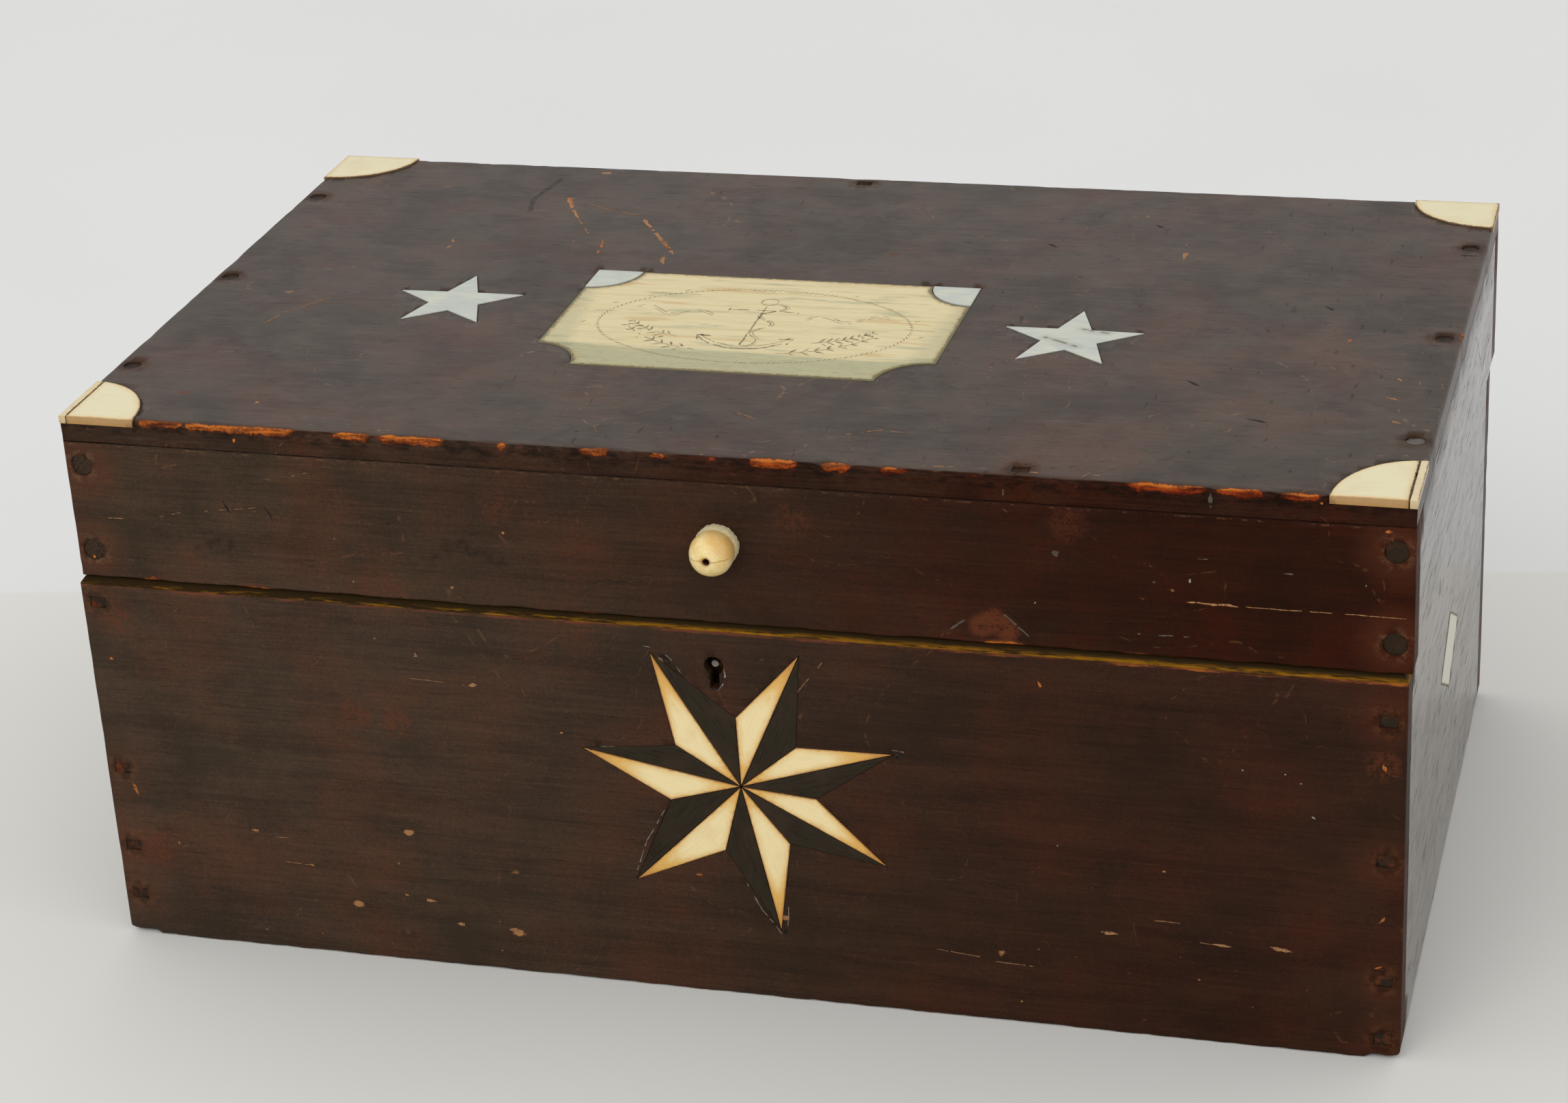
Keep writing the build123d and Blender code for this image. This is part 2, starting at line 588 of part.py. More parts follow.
def link_plate():
    """Plate let into the lid's front rim, with two staples that drop into the lock."""
    low, high = staple_y()
    plate_x = (-LINK_PLATE_HALF, LINK_PLATE_HALF)
    plate = slab(plate_x, (LOCK_FRONT, INNER_FRONT), (LID_RIM, LID_RIM + LINK_PLATE))
    eye_top = BASE_HEIGHT - BOLT_NOSE_DROP + STAPLE_ROOM
    eye_foot = BASE_HEIGHT - BOLT_NOSE_DROP - BOLT_NOSE_HEIGHT - STAPLE_ROOM
    for side in (-1, 1):
        x = (side * STAPLE_X - STAPLE_THICKNESS / 2, side * STAPLE_X + STAPLE_THICKNESS / 2)
        plate += slab(x, (low, high), (eye_foot - STAPLE_FOOT, LID_RIM + LINK_PLATE / 2))
        eye = slab(grown_span(x, OUT), (low + STAPLE_SIDE, high - STAPLE_SIDE), (eye_foot, eye_top))
        plate -= eye
    return cut(plate, fasteners(link_screw_places(), screw_hole()))


def grown_span(span, amount):
    """A span made longer by an amount at both ends."""
    return span[0] - amount, span[1] + amount


def link_recess():
    """Recess for the link plate in the lid's front rim."""
    x = grown_span((-LINK_PLATE_HALF, LINK_PLATE_HALF), LOCK_FIT)
    y = (LOCK_FRONT - LOCK_FIT, INNER_FRONT + OUT)
    return slab(x, y, (LID_RIM - OUT, LID_RIM + LINK_PLATE))


# ---- Inlays -----------------------------------------------------------------
def compass_corners():
    """Centre, tips and valleys of the front star as points of its outer face."""
    middle = Vector(COMPASS_X, FRONT, BASE_HEIGHT - COMPASS_DROP)

    def around(radius, turn):
        return middle + Vector(radius * cos(radians(turn)), 0, radius * sin(radians(turn)))
    tips = [around(COMPASS_RADIUS, turn) for turn in COMPASS_TIP_ANGLES]
    valleys = [around(COMPASS_WAIST, turn) for turn in COMPASS_VALLEY_ANGLES]
    return middle, tips, valleys


def compass_half(index, bone):
    """Half a star point: bone on the left-hand side of its ridge, ebony on the right."""
    middle, tips, valleys = compass_corners()
    valley = valleys[index] if bone else valleys[(index + 1) % len(valleys)]
    corners = inset_triangle([middle, valley, tips[index]], COMPASS_JOINT)
    return prism(corners, (0, 1, 0), INLAY)


def compass_pocket():
    """Star-shaped pocket in the front board."""
    _, tips, valleys = compass_corners()
    outline = []
    for valley, tip in zip(valleys, tips):
        outline += [valley, tip]
    return prism([point - Vector(0, OUT, 0) for point in outline], (0, 1, 0), INLAY + OUT)


def diamond(side, clearance=0.0, open_by=0.0):
    """Bone diamond let into an end of the base: side -1 left, +1 right."""
    face = side * HALF_LENGTH
    z = BASE_HEIGHT - DIAMOND_DROP
    grow = clearance * hypot(DIAMOND_HALF_LENGTH, DIAMOND_HALF_HEIGHT)
    long_half = DIAMOND_HALF_LENGTH + grow / DIAMOND_HALF_HEIGHT
    high_half = DIAMOND_HALF_HEIGHT + grow / DIAMOND_HALF_LENGTH
    x = face + side * open_by
    outline = [(x, DIAMOND_Y - long_half, z), (x, DIAMOND_Y, z + high_half),
               (x, DIAMOND_Y + long_half, z), (x, DIAMOND_Y, z - high_half)]
    return prism(outline, (-side, 0, 0), INLAY + open_by)


def pearl_star_outline(x, y, radius, turn, clearance=0.0):
    """Corner points of a five-pointed star on the lid."""
    step = 360 / (2 * STAR_POINTS)
    rise = STAR_WAIST * sin(radians(step))
    sharpness = rise / hypot(1 - STAR_WAIST * cos(radians(step)), rise)
    outer = radius + clearance / sharpness
    points = []
    for i in range(2 * STAR_POINTS):
        reach = outer if i % 2 == 0 else outer * STAR_WAIST
        angle = radians(90 + turn + step * i)
        points.append((LID_SHIFT + x + reach * cos(angle), y + reach * sin(angle)))
    return points


def flat_prism(outline, z):
    """Outline of X, Y points drawn up between two heights."""
    low, high = z
    return prism([(x, y, low) for x, y in outline], (0, 0, 1), high - low)


def raised(sketch, z):
    """Flat sketch drawn up between two heights."""
    low, high = z
    return Pos(0, 0, low) * extrude(sketch, high - low)


def corner_sketch(side_x, side_y, clearance=0.0):
    """Quarter oval in a corner of the lid's top."""
    radius_x, radius_y = (FRONT_CORNER_X, FRONT_CORNER_Y) if side_y < 0 else (BACK_CORNER_X, BACK_CORNER_Y)
    corner_x = LID_SHIFT + side_x * HALF_LENGTH
    corner_y = side_y * HALF_DEPTH
    oval = Pos(corner_x, corner_y) * Ellipse(radius_x + clearance, radius_y + clearance)
    quarter = Pos(corner_x - side_x * HALF_LENGTH / 2, corner_y - side_y * HALF_DEPTH / 2)
    return oval & quarter * Rectangle(HALF_LENGTH, HALF_DEPTH)


def corner_plate(side_x, side_y, strip=None):
    """Bone plate in a corner of the lid: whole, or one side of the crack along its edge."""
    plate = raised(corner_sketch(side_x, side_y), (LID_TOP - CORNER_PLATE, LID_TOP + CORNER_PROUD))
    edge = LID_SHIFT + side_x * HALF_LENGTH
    crack = (edge - side_x * STRIP_WIDTH, edge - side_x * (STRIP_WIDTH + STRIP_CRACK))
    whole_y = (FRONT - OUT, BACK + OUT)
    whole_z = (LID_TOP - CORNER_PLATE - OUT, LID_TOP + CORNER_PROUD + OUT)
    if strip is True:
        return plate & slab(sorted((crack[0], edge + side_x * OUT)), whole_y, whole_z)
    if strip is False:
        return plate & slab(sorted((crack[1], LID_SHIFT)), whole_y, whole_z)
    return plate


def plaque_place():
    """Middle of the plaque on the lid."""
    return LID_SHIFT + PLAQUE_X, PLAQUE_Y


def notch_places(rear_only=False):
    """Corners of the plaque that its quarter-round notches are struck from."""
    x, y = plaque_place()
    rows = (1,) if rear_only else (-1, 1)
    return [(x + side * PLAQUE_LENGTH / 2, y + row * PLAQUE_WIDTH / 2) for side in (-1, 1) for row in rows]


def plaque_sketch(clearance=0.0):
    """Rectangle with a hollow quarter-round corner at each end of both edges."""
    x, y = plaque_place()
    shape = Pos(x, y) * Rectangle(PLAQUE_LENGTH + 2 * clearance, PLAQUE_WIDTH + 2 * clearance)
    for corner_x, corner_y in notch_places():
        shape -= Pos(corner_x, corner_y) * Circle(PLAQUE_NOTCH - clearance)
    return shape


def plaque():
    """Bone plaque let into the lid."""
    return raised(plaque_sketch(), (LID_TOP - PLAQUE_THICKNESS, LID_TOP))


def pearl_quadrant_sketch(corner, clearance=0.0):
    """Quarter disc in a rear notch of the plaque."""
    corner_x, corner_y = corner
    x, y = plaque_place()
    side = 1 if corner_x > x else -1
    half = PLAQUE_NOTCH / 2
    disc = Pos(corner_x, corner_y) * Circle(PLAQUE_NOTCH - 2 * INLAY_FIT + clearance)
    square = Rectangle(PLAQUE_NOTCH + 2 * clearance, PLAQUE_NOTCH + 2 * clearance)
    return disc & Pos(corner_x - side * half, corner_y - half) * square


def top_pockets():
    """Everything let into the lid's top board."""
    above = LID_TOP + OUT
    tools = []
    for side_x in (-1, 1):
        for side_y in (-1, 1):
            tools.append(raised(corner_sketch(side_x, side_y, INLAY_FIT), (LID_TOP - CORNER_PLATE, above)))
    tools.append(raised(plaque_sketch(INLAY_FIT), (LID_TOP - PLAQUE_THICKNESS, above)))
    for corner in notch_places(rear_only=True):
        pocket = pearl_quadrant_sketch(corner, 2 * INLAY_FIT)
        tools.append(raised(pocket, (LID_TOP - PEARL_THICKNESS, above)))
    for star in PEARL_STARS:
        tools.append(flat_prism(pearl_star_outline(*star, INLAY_FIT), (LID_TOP - PEARL_THICKNESS, above)))
    return tools


PEARL_STARS = ((LEFT_STAR_X, LEFT_STAR_Y, LEFT_STAR_RADIUS, LEFT_STAR_TURN),
               (RIGHT_STAR_X, RIGHT_STAR_Y, RIGHT_STAR_RADIUS, RIGHT_STAR_TURN))


# ---- Knob -------------------------------------------------------------------
def knob_location():
    """Knob's axis on the lid's front, pointing out of it."""
    return on_surface((KNOB_X, FRONT, LID_RIM + KNOB_HEIGHT), (0, -1, 0), (1, 0, 0))


def knob():
    """Turned bone knob: collar, neck and egg-shaped head, with a tenon into the lid."""
    foot = Polyline((0, -KNOB_TENON_LENGTH), (KNOB_TENON_RADIUS, -KNOB_TENON_LENGTH),
                    (KNOB_TENON_RADIUS, 0), (KNOB_COLLAR, 0), (KNOB_COLLAR, KNOB_COLLAR_LENGTH),
                    (KNOB_NECK, KNOB_NECK_OUT))
    swell = Spline((KNOB_NECK, KNOB_NECK_OUT), (KNOB_RADIUS, KNOB_BELLY), tangents=[(0.4, 1), (0, 1)])
    crown = EllipticalCenterArc((0, KNOB_BELLY), KNOB_RADIUS, KNOB_LENGTH - KNOB_BELLY, 0, arc_size=90)
    middle = Line((0, KNOB_LENGTH), (0, -KNOB_TENON_LENGTH))
    body = Rot(90, 0, 0) * revolve(make_face([foot, swell, crown, middle]), Axis.Y)
    bore = KNOB_CENTRE_DEPTH + OUT
    hole = Pos(0, 0, KNOB_LENGTH + OUT - bore / 2) * Cylinder(KNOB_CENTRE_HOLE, bore)
    return knob_location() * (body - hole)


def knob_socket():
    """Hole for the knob's tenon."""
    deep = KNOB_TENON_LENGTH + KNOB_FIT
    hole = Pos(0, 0, (OUT - deep) / 2) * Cylinder(KNOB_TENON_RADIUS + KNOB_FIT, deep + OUT)
    return knob_location() * hole


# ---- Boards -----------------------------------------------------------------
def bottom_recess():
    """Room under the walls that the bottom board is let into."""
    lap = WALL - BOTTOM_REBATE - BOARD_FIT
    half_x = HALF_LENGTH - lap
    half_y = HALF_DEPTH - lap
    return slab((-half_x, half_x), (-half_y, half_y), (-OUT, BOTTOM_BOARD + BOARD_FIT))


def base_boards():
    """The four walls and the bottom board."""
    form = base_form() - bottom_recess()
    inner_x = HALF_LENGTH - WALL
    height = (0, BASE_HEIGHT)
    front = form & slab((-HALF_LENGTH, HALF_LENGTH), (FRONT, INNER_FRONT), height)
    back = form & slab((-HALF_LENGTH, HALF_LENGTH), (BACK - WALL, BACK), height)
    left = form & slab((-HALF_LENGTH, -inner_x), (INNER_FRONT, BACK - WALL), height)
    right = form & slab((inner_x, HALF_LENGTH), (INNER_FRONT, BACK - WALL), height)
    lap = WALL - BOTTOM_REBATE
    half_x = HALF_LENGTH - lap
    half_y = HALF_DEPTH - lap
    bottom = slab((-half_x, half_x), (-half_y, half_y), (0, BOTTOM_BOARD))
    corner_holes = fasteners(corner_nail_places(), nail(NAIL_LENGTH, NAIL_FIT, OUT))
    bottom_holes = fasteners(bottom_nail_places(), nail(BOTTOM_NAIL_LENGTH, NAIL_FIT, OUT))
    hinges = [hinge_recess(side * HINGE_X, upper=False) for side in (-1, 1)]
    screws = fasteners(hinge_screw_places(BASE_HEIGHT - SEAM_GAP / 2, 1), screw_hole())
    nails = corner_holes + bottom_holes
    lock = lock_mortise() + fasteners(lock_screw_places(), screw_hole())
    return {
        "base_front": cut(front, nails + lock + [compass_pocket()]),
        "base_back": cut(back, nails + hinges + screws),
        "base_left": cut(left, nails + [diamond(-1, INLAY_FIT, OUT)]),
        "base_right": cut(right, nails + [diamond(1, INLAY_FIT, OUT)]),
        "bottom_board": cut(bottom, nails),
    }


def lid_boards():
    """The lid's frame and the board nailed and pegged on top of it."""
    form = lid_form()
    right_end = LID_SHIFT + HALF_LENGTH
    left_end = LID_SHIFT - HALF_LENGTH
    height = (LID_RIM, FRAME_TOP)
    front = form & slab((left_end, right_end), (FRONT, INNER_FRONT), height)
    back = form & slab((left_end, right_end), (BACK - WALL, BACK), height)
    left = form & slab((left_end, left_end + WALL), (INNER_FRONT, BACK - WALL), height)
    right = form & slab((right_end - WALL, right_end), (INNER_FRONT, BACK - WALL), height)
    top = form & slab((left_end, right_end), (FRONT, BACK), (FRAME_TOP, LID_TOP))
    pegs = fasteners(lid_peg_places(), peg(PEG_RADIUS, PEG_LENGTH, PEG_FIT, OUT))
    top_holes = fasteners(top_peg_places(), peg(TOP_PEG_RADIUS, PEG_LENGTH, PEG_FIT, OUT))
    top_holes += fasteners(top_nail_places(), nail(TOP_NAIL_LENGTH, NAIL_FIT, OUT))
    hinges = [hinge_recess(side * HINGE_X, upper=True) for side in (-1, 1)]
    screws = fasteners(hinge_screw_places(LID_RIM + SEAM_GAP / 2, -1), screw_hole())
    link = [link_recess(), knob_socket()] + fasteners(link_screw_places(), screw_hole())
    return {
        "lid_front": cut(front, pegs + top_holes + link),
        "lid_back": cut(back, pegs + top_holes + hinges + screws),
        "lid_left": cut(left, pegs + top_holes),
        "lid_right": cut(right, pegs + top_holes),
        "top_board": cut(top, top_holes + top_pockets()),
    }


# ---- The whole box ----------------------------------------------------------
def lid_trim():
    """Everything set into or on the lid's boards."""
    parts = {
        "bone_corner_front_left": corner_plate(-1, -1, strip=False),
        "bone_strip_front_left": corner_plate(-1, -1, strip=True),
        "bone_corner_front_right": corner_plate(1, -1, strip=False),
        "bone_strip_front_right": corner_plate(1, -1, strip=True),
        "bone_corner_back_left": corner_plate(-1, 1),
        "bone_corner_back_right": corner_plate(1, 1),
        "plaque": plaque(),
        "knob": knob(),
        "link_plate": link_plate(),
        "lid_corner_pegs": fasteners(lid_peg_places(), peg(PEG_RADIUS, PEG_LENGTH)),
        "top_board_pegs": fasteners(top_peg_places(), peg(TOP_PEG_RADIUS, PEG_LENGTH)),
        "top_board_nails": fasteners(top_nail_places(), nail(TOP_NAIL_LENGTH)),
        "link_plate_screws": fasteners(link_screw_places(), screw()),
        "hinge_upper_screws": fasteners(hinge_screw_places(LID_RIM + SEAM_GAP / 2, -1), screw()),
    }
    pearl = (LID_TOP - PEARL_THICKNESS, LID_TOP + PEARL_PROUD)
    for name, corner in zip(("plaque_pearl_left", "plaque_pearl_right"), notch_places(rear_only=True)):
        parts[name] = raised(pearl_quadrant_sketch(corner), pearl)
    for name, star in zip(("pearl_star_left", "pearl_star_right"), PEARL_STARS):
        parts[name] = flat_prism(pearl_star_outline(*star), pearl)
    return parts


def base_trim():
    """Everything set into or on the base's boards."""
    parts = {
        "side_diamond_left": diamond(-1),
        "side_diamond_right": diamond(1),
        "lock_plate": lock_plate(),
        "lock_case": lock_case(),
        "lock_drill_pin": drill_pin(),
        "lock_bolt": lock_bolt(),
        "lock_spring": lock_spring(),
        "lock_screws": fasteners(lock_screw_places(), screw()),
        "base_corner_nails": fasteners(corner_nail_places(), nail(NAIL_LENGTH)),
        "bottom_nails": fasteners(bottom_nail_places(), nail(BOTTOM_NAIL_LENGTH)),
        "hinge_pins": hinge_pins(),
        "hinge_lower_screws": fasteners(hinge_screw_places(BASE_HEIGHT - SEAM_GAP / 2, 1), screw()),
    }
    for index in range(len(COMPASS_TIP_ANGLES)):
        parts[f"star_bone_{index + 1}"] = compass_half(index, bone=True)
        parts[f"star_ebony_{index + 1}"] = compass_half(index, bone=False)
    return parts


def hinge_leaves():
    """Two leaves for each hinge."""
    parts = {}
    for name, side in (("left", -1), ("right", 1)):
        holes_low = fasteners(hinge_screw_places(BASE_HEIGHT - SEAM_GAP / 2, 1), screw_hole())
        holes_high = fasteners(hinge_screw_places(LID_RIM + SEAM_GAP / 2, -1), screw_hole())
        parts[f"hinge_lower_{name}"] = cut(hinge_leaf(side * HINGE_X, upper=False), holes_low)
        parts[f"hinge_upper_{name}"] = cut(hinge_leaf(side * HINGE_X, upper=True), holes_high)
    return parts


def main():
    """Build every piece and write one STEP file for each."""
    os.makedirs("parts", exist_ok=True)
    parts = {**base_boards(), **lid_boards(), **base_trim(), **lid_trim(), **hinge_leaves()}
    for name, shape in parts.items():
        pieces = shape if isinstance(shape, list) else [shape]
        solids = [solid for piece in pieces for solid in piece.solids()]
        export_step(Compound(children=solids), f"parts/{name}.step")
    print(len(parts), "pieces written")


main()
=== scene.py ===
"""Looks of a sailor's ditty box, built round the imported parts.

Laid out as an add-on: sizes and colours are properties, and each piece or group of like pieces
has its own operator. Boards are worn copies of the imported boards, inlays are copies with eased
edges, and nails, pegs, screws, pearl stars and the plaque's rope come from Geometry Nodes.
"""
import math
from types import SimpleNamespace

import bmesh
import bpy
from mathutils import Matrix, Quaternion, Vector, noise


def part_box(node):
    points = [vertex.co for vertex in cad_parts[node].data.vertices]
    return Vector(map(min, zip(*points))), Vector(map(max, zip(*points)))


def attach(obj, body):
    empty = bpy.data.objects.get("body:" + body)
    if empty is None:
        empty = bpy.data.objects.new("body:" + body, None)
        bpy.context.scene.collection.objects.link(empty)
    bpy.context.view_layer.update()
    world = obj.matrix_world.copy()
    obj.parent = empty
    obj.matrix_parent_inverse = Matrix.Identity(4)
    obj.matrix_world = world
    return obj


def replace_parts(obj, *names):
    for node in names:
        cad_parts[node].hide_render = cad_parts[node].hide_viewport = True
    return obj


bl_info = {
    "name": "Ditty box",
    "version": (1, 0, 0),
    "blender": (4, 5, 0),
    "location": "3D View > Sidebar > Ditty box",
    "description": "Worn, inlaid sailor's box with a hinged lid",
    "category": "Object",
}

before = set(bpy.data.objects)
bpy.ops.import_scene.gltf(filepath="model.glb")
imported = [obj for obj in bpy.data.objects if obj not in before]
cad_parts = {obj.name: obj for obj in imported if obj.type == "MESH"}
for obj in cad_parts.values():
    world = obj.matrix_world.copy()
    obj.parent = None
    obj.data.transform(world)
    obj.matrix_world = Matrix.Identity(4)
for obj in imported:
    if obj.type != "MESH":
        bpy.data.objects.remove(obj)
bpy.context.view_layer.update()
MM = 0.001
WELD = 1e-6                   # in metres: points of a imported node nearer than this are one


def srgb(red, green, blue):
    """Colour picker values from 0 to 255 as a linear colour."""
    def linear(value):
        share = value / 255
        return share / 12.92 if share <= 0.04045 else ((share + 0.055) / 1.055) ** 2.4
    return (linear(red), linear(green), linear(blue), 1.0)


def node_box(name):
    """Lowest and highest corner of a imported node, in millimetres."""
    return [[value / MM for value in corner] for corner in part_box(name)]


def common_box(names):
    """Lowest and highest corner, in millimetres, round the named nodes."""
    corners = [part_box(name) for name in names]
    low = [min(box[0][axis] for box in corners) / MM for axis in range(3)]
    high = [max(box[1][axis] for box in corners) / MM for axis in range(3)]
    return low, high


BASE_BOARDS = ("base_front", "base_back", "base_left", "base_right", "bottom_board")
LID_BOARDS = ("lid_front", "lid_back", "lid_left", "lid_right", "top_board")
BASE_LOW, BASE_HIGH = common_box(BASE_BOARDS)
LID_LOW, LID_HIGH = common_box(LID_BOARDS)
FRONT = BASE_LOW[1]
RIM, LID_TOP = BASE_HIGH[2], LID_HIGH[2]


# ---- Node trees -------------------------------------------------------------
def sum_node(operation, swapped=False):
    """A method that works on two sockets or numbers with a Math node."""
    def method(self, other):
        return self.tree.math(operation, *((other, self) if swapped else (self, other)))
    return method


class Wire:
    """A socket in an expression, so that masks and sizes read as plain sums."""
    __add__ = __radd__ = sum_node("ADD")
    __mul__ = __rmul__ = sum_node("MULTIPLY")
    __sub__, __rsub__ = sum_node("SUBTRACT"), sum_node("SUBTRACT", swapped=True)

    def __init__(self, tree, socket):
        self.tree, self.socket = tree, socket


class Tree:
    """A shader or geometry node tree with one way to add a node."""

    def __init__(self, tree):
        self.tree = tree

    def add(self, kind, settings=None, sockets=None, output=0):
        """Adds a node: settings first, then values or links of its sockets; returns an output."""
        node = self.tree.nodes.new(kind)
        for name, value in (settings or {}).items():
            setattr(node, name, value)
        for name, value in (sockets or {}).items():
            self.feed(node.inputs[name], value)
        return Wire(self, node.outputs[output])

    def feed(self, socket, value):
        """Links a socket to a wire or gives it a value."""
        if isinstance(value, Wire):
            self.tree.links.new(value.socket, socket)
        else:
            socket.default_value = value

    def also(self, output):
        """Another output of the node that was added last."""
        return Wire(self, self.tree.nodes[-1].outputs[output])

    def math(self, operation, first, second=0.0, clamp=False):
        settings = {"operation": operation, "use_clamp": clamp}
        return self.add("ShaderNodeMath", settings, {0: first, 1: second})

    def vector(self, operation, first, second=(0, 0, 0), output=0, scale=None):
        sockets = {0: first, 1: second} if scale is None else {0: first, 3: scale}
        return self.add("ShaderNodeVectorMath", {"operation": operation}, sockets, output)

    def between(self, value, low, high):
        """0 at low, 1 at high, smooth in between; low may lie above high."""
        ends = {1: low, 2: high} if low < high else {1: high, 2: low, 3: 1.0, 4: 0.0}
        settings = {"interpolation_type": "SMOOTHSTEP"}
        return self.add("ShaderNodeMapRange", settings, {0: value, **ends})

    def near(self, value, far, close):
        """0 where a value is further than far from zero, 1 where it is close."""
        return self.between(self.math("ABSOLUTE", value), far, close)

    def blend(self, factor, first, second, how="MIX"):
        """Two colours mixed by a factor."""
        settings = {"data_type": "RGBA", "blend_type": how, "clamp_factor": True}
        return self.add("ShaderNodeMix", settings, {0: factor, 6: first, 7: second}, 2)

    def noise(self, vector, scale, detail=3.0, rough=0.6, warp=0.0, output=0):
        sockets = {"Vector": vector, "Scale": scale, "Detail": detail, "Roughness": rough,
                   "Distortion": warp}
        return self.add("ShaderNodeTexNoise", None, sockets, output)

    def mapped(self, vector, scale=(1, 1, 1), move=(0, 0, 0), turn=(0, 0, 0)):
        sockets = {"Vector": vector, "Scale": scale, "Location": move, "Rotation": turn}
        return self.add("ShaderNodeMapping", None, sockets)

    def apart(self, vector):
        """The three parts of a vector."""
        self.add("ShaderNodeSeparateXYZ", None, {0: vector})
        return [self.also(part) for part in "XYZ"]

    def cells(self, place, size):
        """Scattered spots: distance from the middle of each, and three chances of its own."""
        mapped = self.mapped(place, tuple(1 / part for part in size))
        away = self.add("ShaderNodeTexVoronoi", None, {"Vector": mapped, "Scale": 1.0})
        return (away, *self.apart(self.also("Color")))

    def attribute(self, name):
        return self.add("ShaderNodeAttribute", {"attribute_name": name}, None, "Fac")

    def reach(self, place, start, end):
        """Distance from a place to the straight line between two points."""
        run = Vector(end) - Vector(start)
        near = self.vector("SUBTRACT", place, start)
        if run.length < 1e-6:
            return self.vector("LENGTH", near, output="Value")
        share = self.vector("DOT_PRODUCT", near, tuple(run / run.length_squared), "Value")
        share = self.math("MULTIPLY", share, 1.0, clamp=True)
        along = self.vector("SCALE", tuple(run), scale=share)
        return self.vector("LENGTH", self.vector("SUBTRACT", near, along), output="Value")

    def nearest(self, place, lines):
        """Distance to the nearest of several lines through points; a lone point is a dot."""
        pairs = []
        for points in lines:
            pairs += list(zip(points, points[1:])) or [(points[0], points[0])]
        away = self.reach(place, *pairs[0])
        for pair in pairs[1:]:
            away = self.math("MINIMUM", away, self.reach(place, *pair))
        return away

    def shaken(self, place, size, far):
        """A place pushed about by noise, which makes drawn edges ragged."""
        push = self.noise(place, 1 / size, output=1)
        push = self.vector("SUBTRACT", push, (0.5, 0.5, 0.5))
        return self.vector("ADD", place, self.vector("SCALE", push, scale=far))


class Finish(Tree):
    """A material whose colour is painted in layers, from places in millimetres."""

    def __init__(self, name):
        self.material = bpy.data.materials.new(name)
        self.material.use_nodes = True
        super().__init__(self.material.node_tree)
        here = self.add("ShaderNodeTexCoord", None, None, "Object")
        self.place = self.mapped(here, (1 / MM,) * 3)
        self.x, self.y, self.z = self.apart(self.place)

    def paint(self, mask, tint, how="MIX"):
        """Lays a tint over the colour so far."""
        self.colour = self.blend(mask, self.colour, tint, how)

    def done(self, height=None, **sockets):
        """Sets the shader's sockets, named with _ for each space, and bump from a height."""
        surface = self.tree.nodes["Principled BSDF"]
        self.feed(surface.inputs["Base Color"], self.colour)
        for name, value in sockets.items():
            self.feed(surface.inputs[name.replace("_", " ")], value)
        if height is not None:
            bump = {"Height": height, "Distance": MM, "Strength": 1.0}
            self.feed(surface.inputs["Normal"], self.add("ShaderNodeBump", None, bump))
        return self.material


# ---- Sizes and colours ------------------------------------------------------
def colour_property(name, description, *value):
    return bpy.props.FloatVectorProperty(name=name, description=description, subtype="COLOR",
                                         size=4, min=0.0, max=1.0, default=srgb(*value))


def length_property(name, description, value):
    return bpy.props.FloatProperty(name=name, description=description, unit="LENGTH", min=0.0,
                                   precision=5, default=value * MM)


def angle_property(name, description, value):
    return bpy.props.FloatProperty(name=name, description=description, subtype="ANGLE",
                                   default=math.radians(value))


def place_property(name, description, value):
    return bpy.props.FloatVectorProperty(name=name, description=description,
                                         subtype="TRANSLATION", default=value)


class DittyBoxWood(bpy.types.PropertyGroup):
    """Colours and wear of the boards."""
    dark: colour_property("Dark varnish", "Varnish in the grain", 50, 38, 28)
    light: colour_property("Light varnish", "Varnish between the grain", 66, 50, 37)
    red: colour_property("Rubbed varnish", "Where the varnish is thin", 94, 48, 27)
    olive: colour_property("Dull varnish", "Where the varnish has gone dull", 46, 38, 25)
    # Painted shade: a multiplied tint that darkens the varnish towards the right end, and the top
    # board's front edge.
    painted_shade: colour_property("Deepening", "Shading towards the right end", 184, 110, 26)
    bare: colour_property("Bare wood", "Where the varnish has gone", 182, 102, 36)
    tan: colour_property("Chip", "Small chips in the varnish", 164, 116, 74)
    chalk: colour_property("Chalk", "Old filler at the edges of the inlay", 146, 142, 130)
    haze: colour_property("Scuff", "Grey scuffs on the varnish", 94, 86, 80)
    moss: colour_property("Bloom", "Greenish bloom in old scratches", 86, 88, 68)
    soot: colour_property("Soot", "Dirt in corners and dents", 18, 14, 11)
    # The rim's colour where its painted highlight falls; elsewhere the chamfer is painted much
    # darker, as shade under the lid's edge.
    gold: colour_property("Rim", "Oily gold varnish on the rim", 152, 102, 8)
    inside: colour_property("Inside wood", "Unvarnished wood inside the box", 128, 88, 56)
    dents: length_property("Dents", "Depth of the dents on the broad faces", 0.18)


class DittyBoxInlay(bpy.types.PropertyGroup):
    """Colours of bone, ebony and pearl."""
    bone: colour_property("Bone", "Body of the bone", 230, 211, 160)
    stain: colour_property("Stain", "Brown stain along its edges", 178, 120, 46)
    ebony: colour_property("Ebony", "Dark points of the star", 45, 38, 27)
    pearl: colour_property("Pearl", "Mother of pearl", 188, 190, 174)
    sepia: colour_property("Sepia", "Ink in the engraved lines", 122, 108, 76)
    sage: colour_property("Sage", "Grey-green wash on the plaque", 150, 152, 118)
    ease: length_property("Eased edge", "How far the edge of an inlay is rubbed down", 0.1)


class DittyBoxMetal(bpy.types.PropertyGroup):
    """Colours of the metalwork and the pegs."""
    brass: colour_property("Brass", "Hinges and lock", 170, 132, 70)
    iron: colour_property("Iron", "Nails and screws", 46, 38, 30)
    rust: colour_property("Rust", "Rust on the iron", 96, 50, 28)
    steel: colour_property("Steel", "Spring", 130, 132, 136)
    peg: colour_property("Peg", "End grain of the pegs", 47, 36, 26)


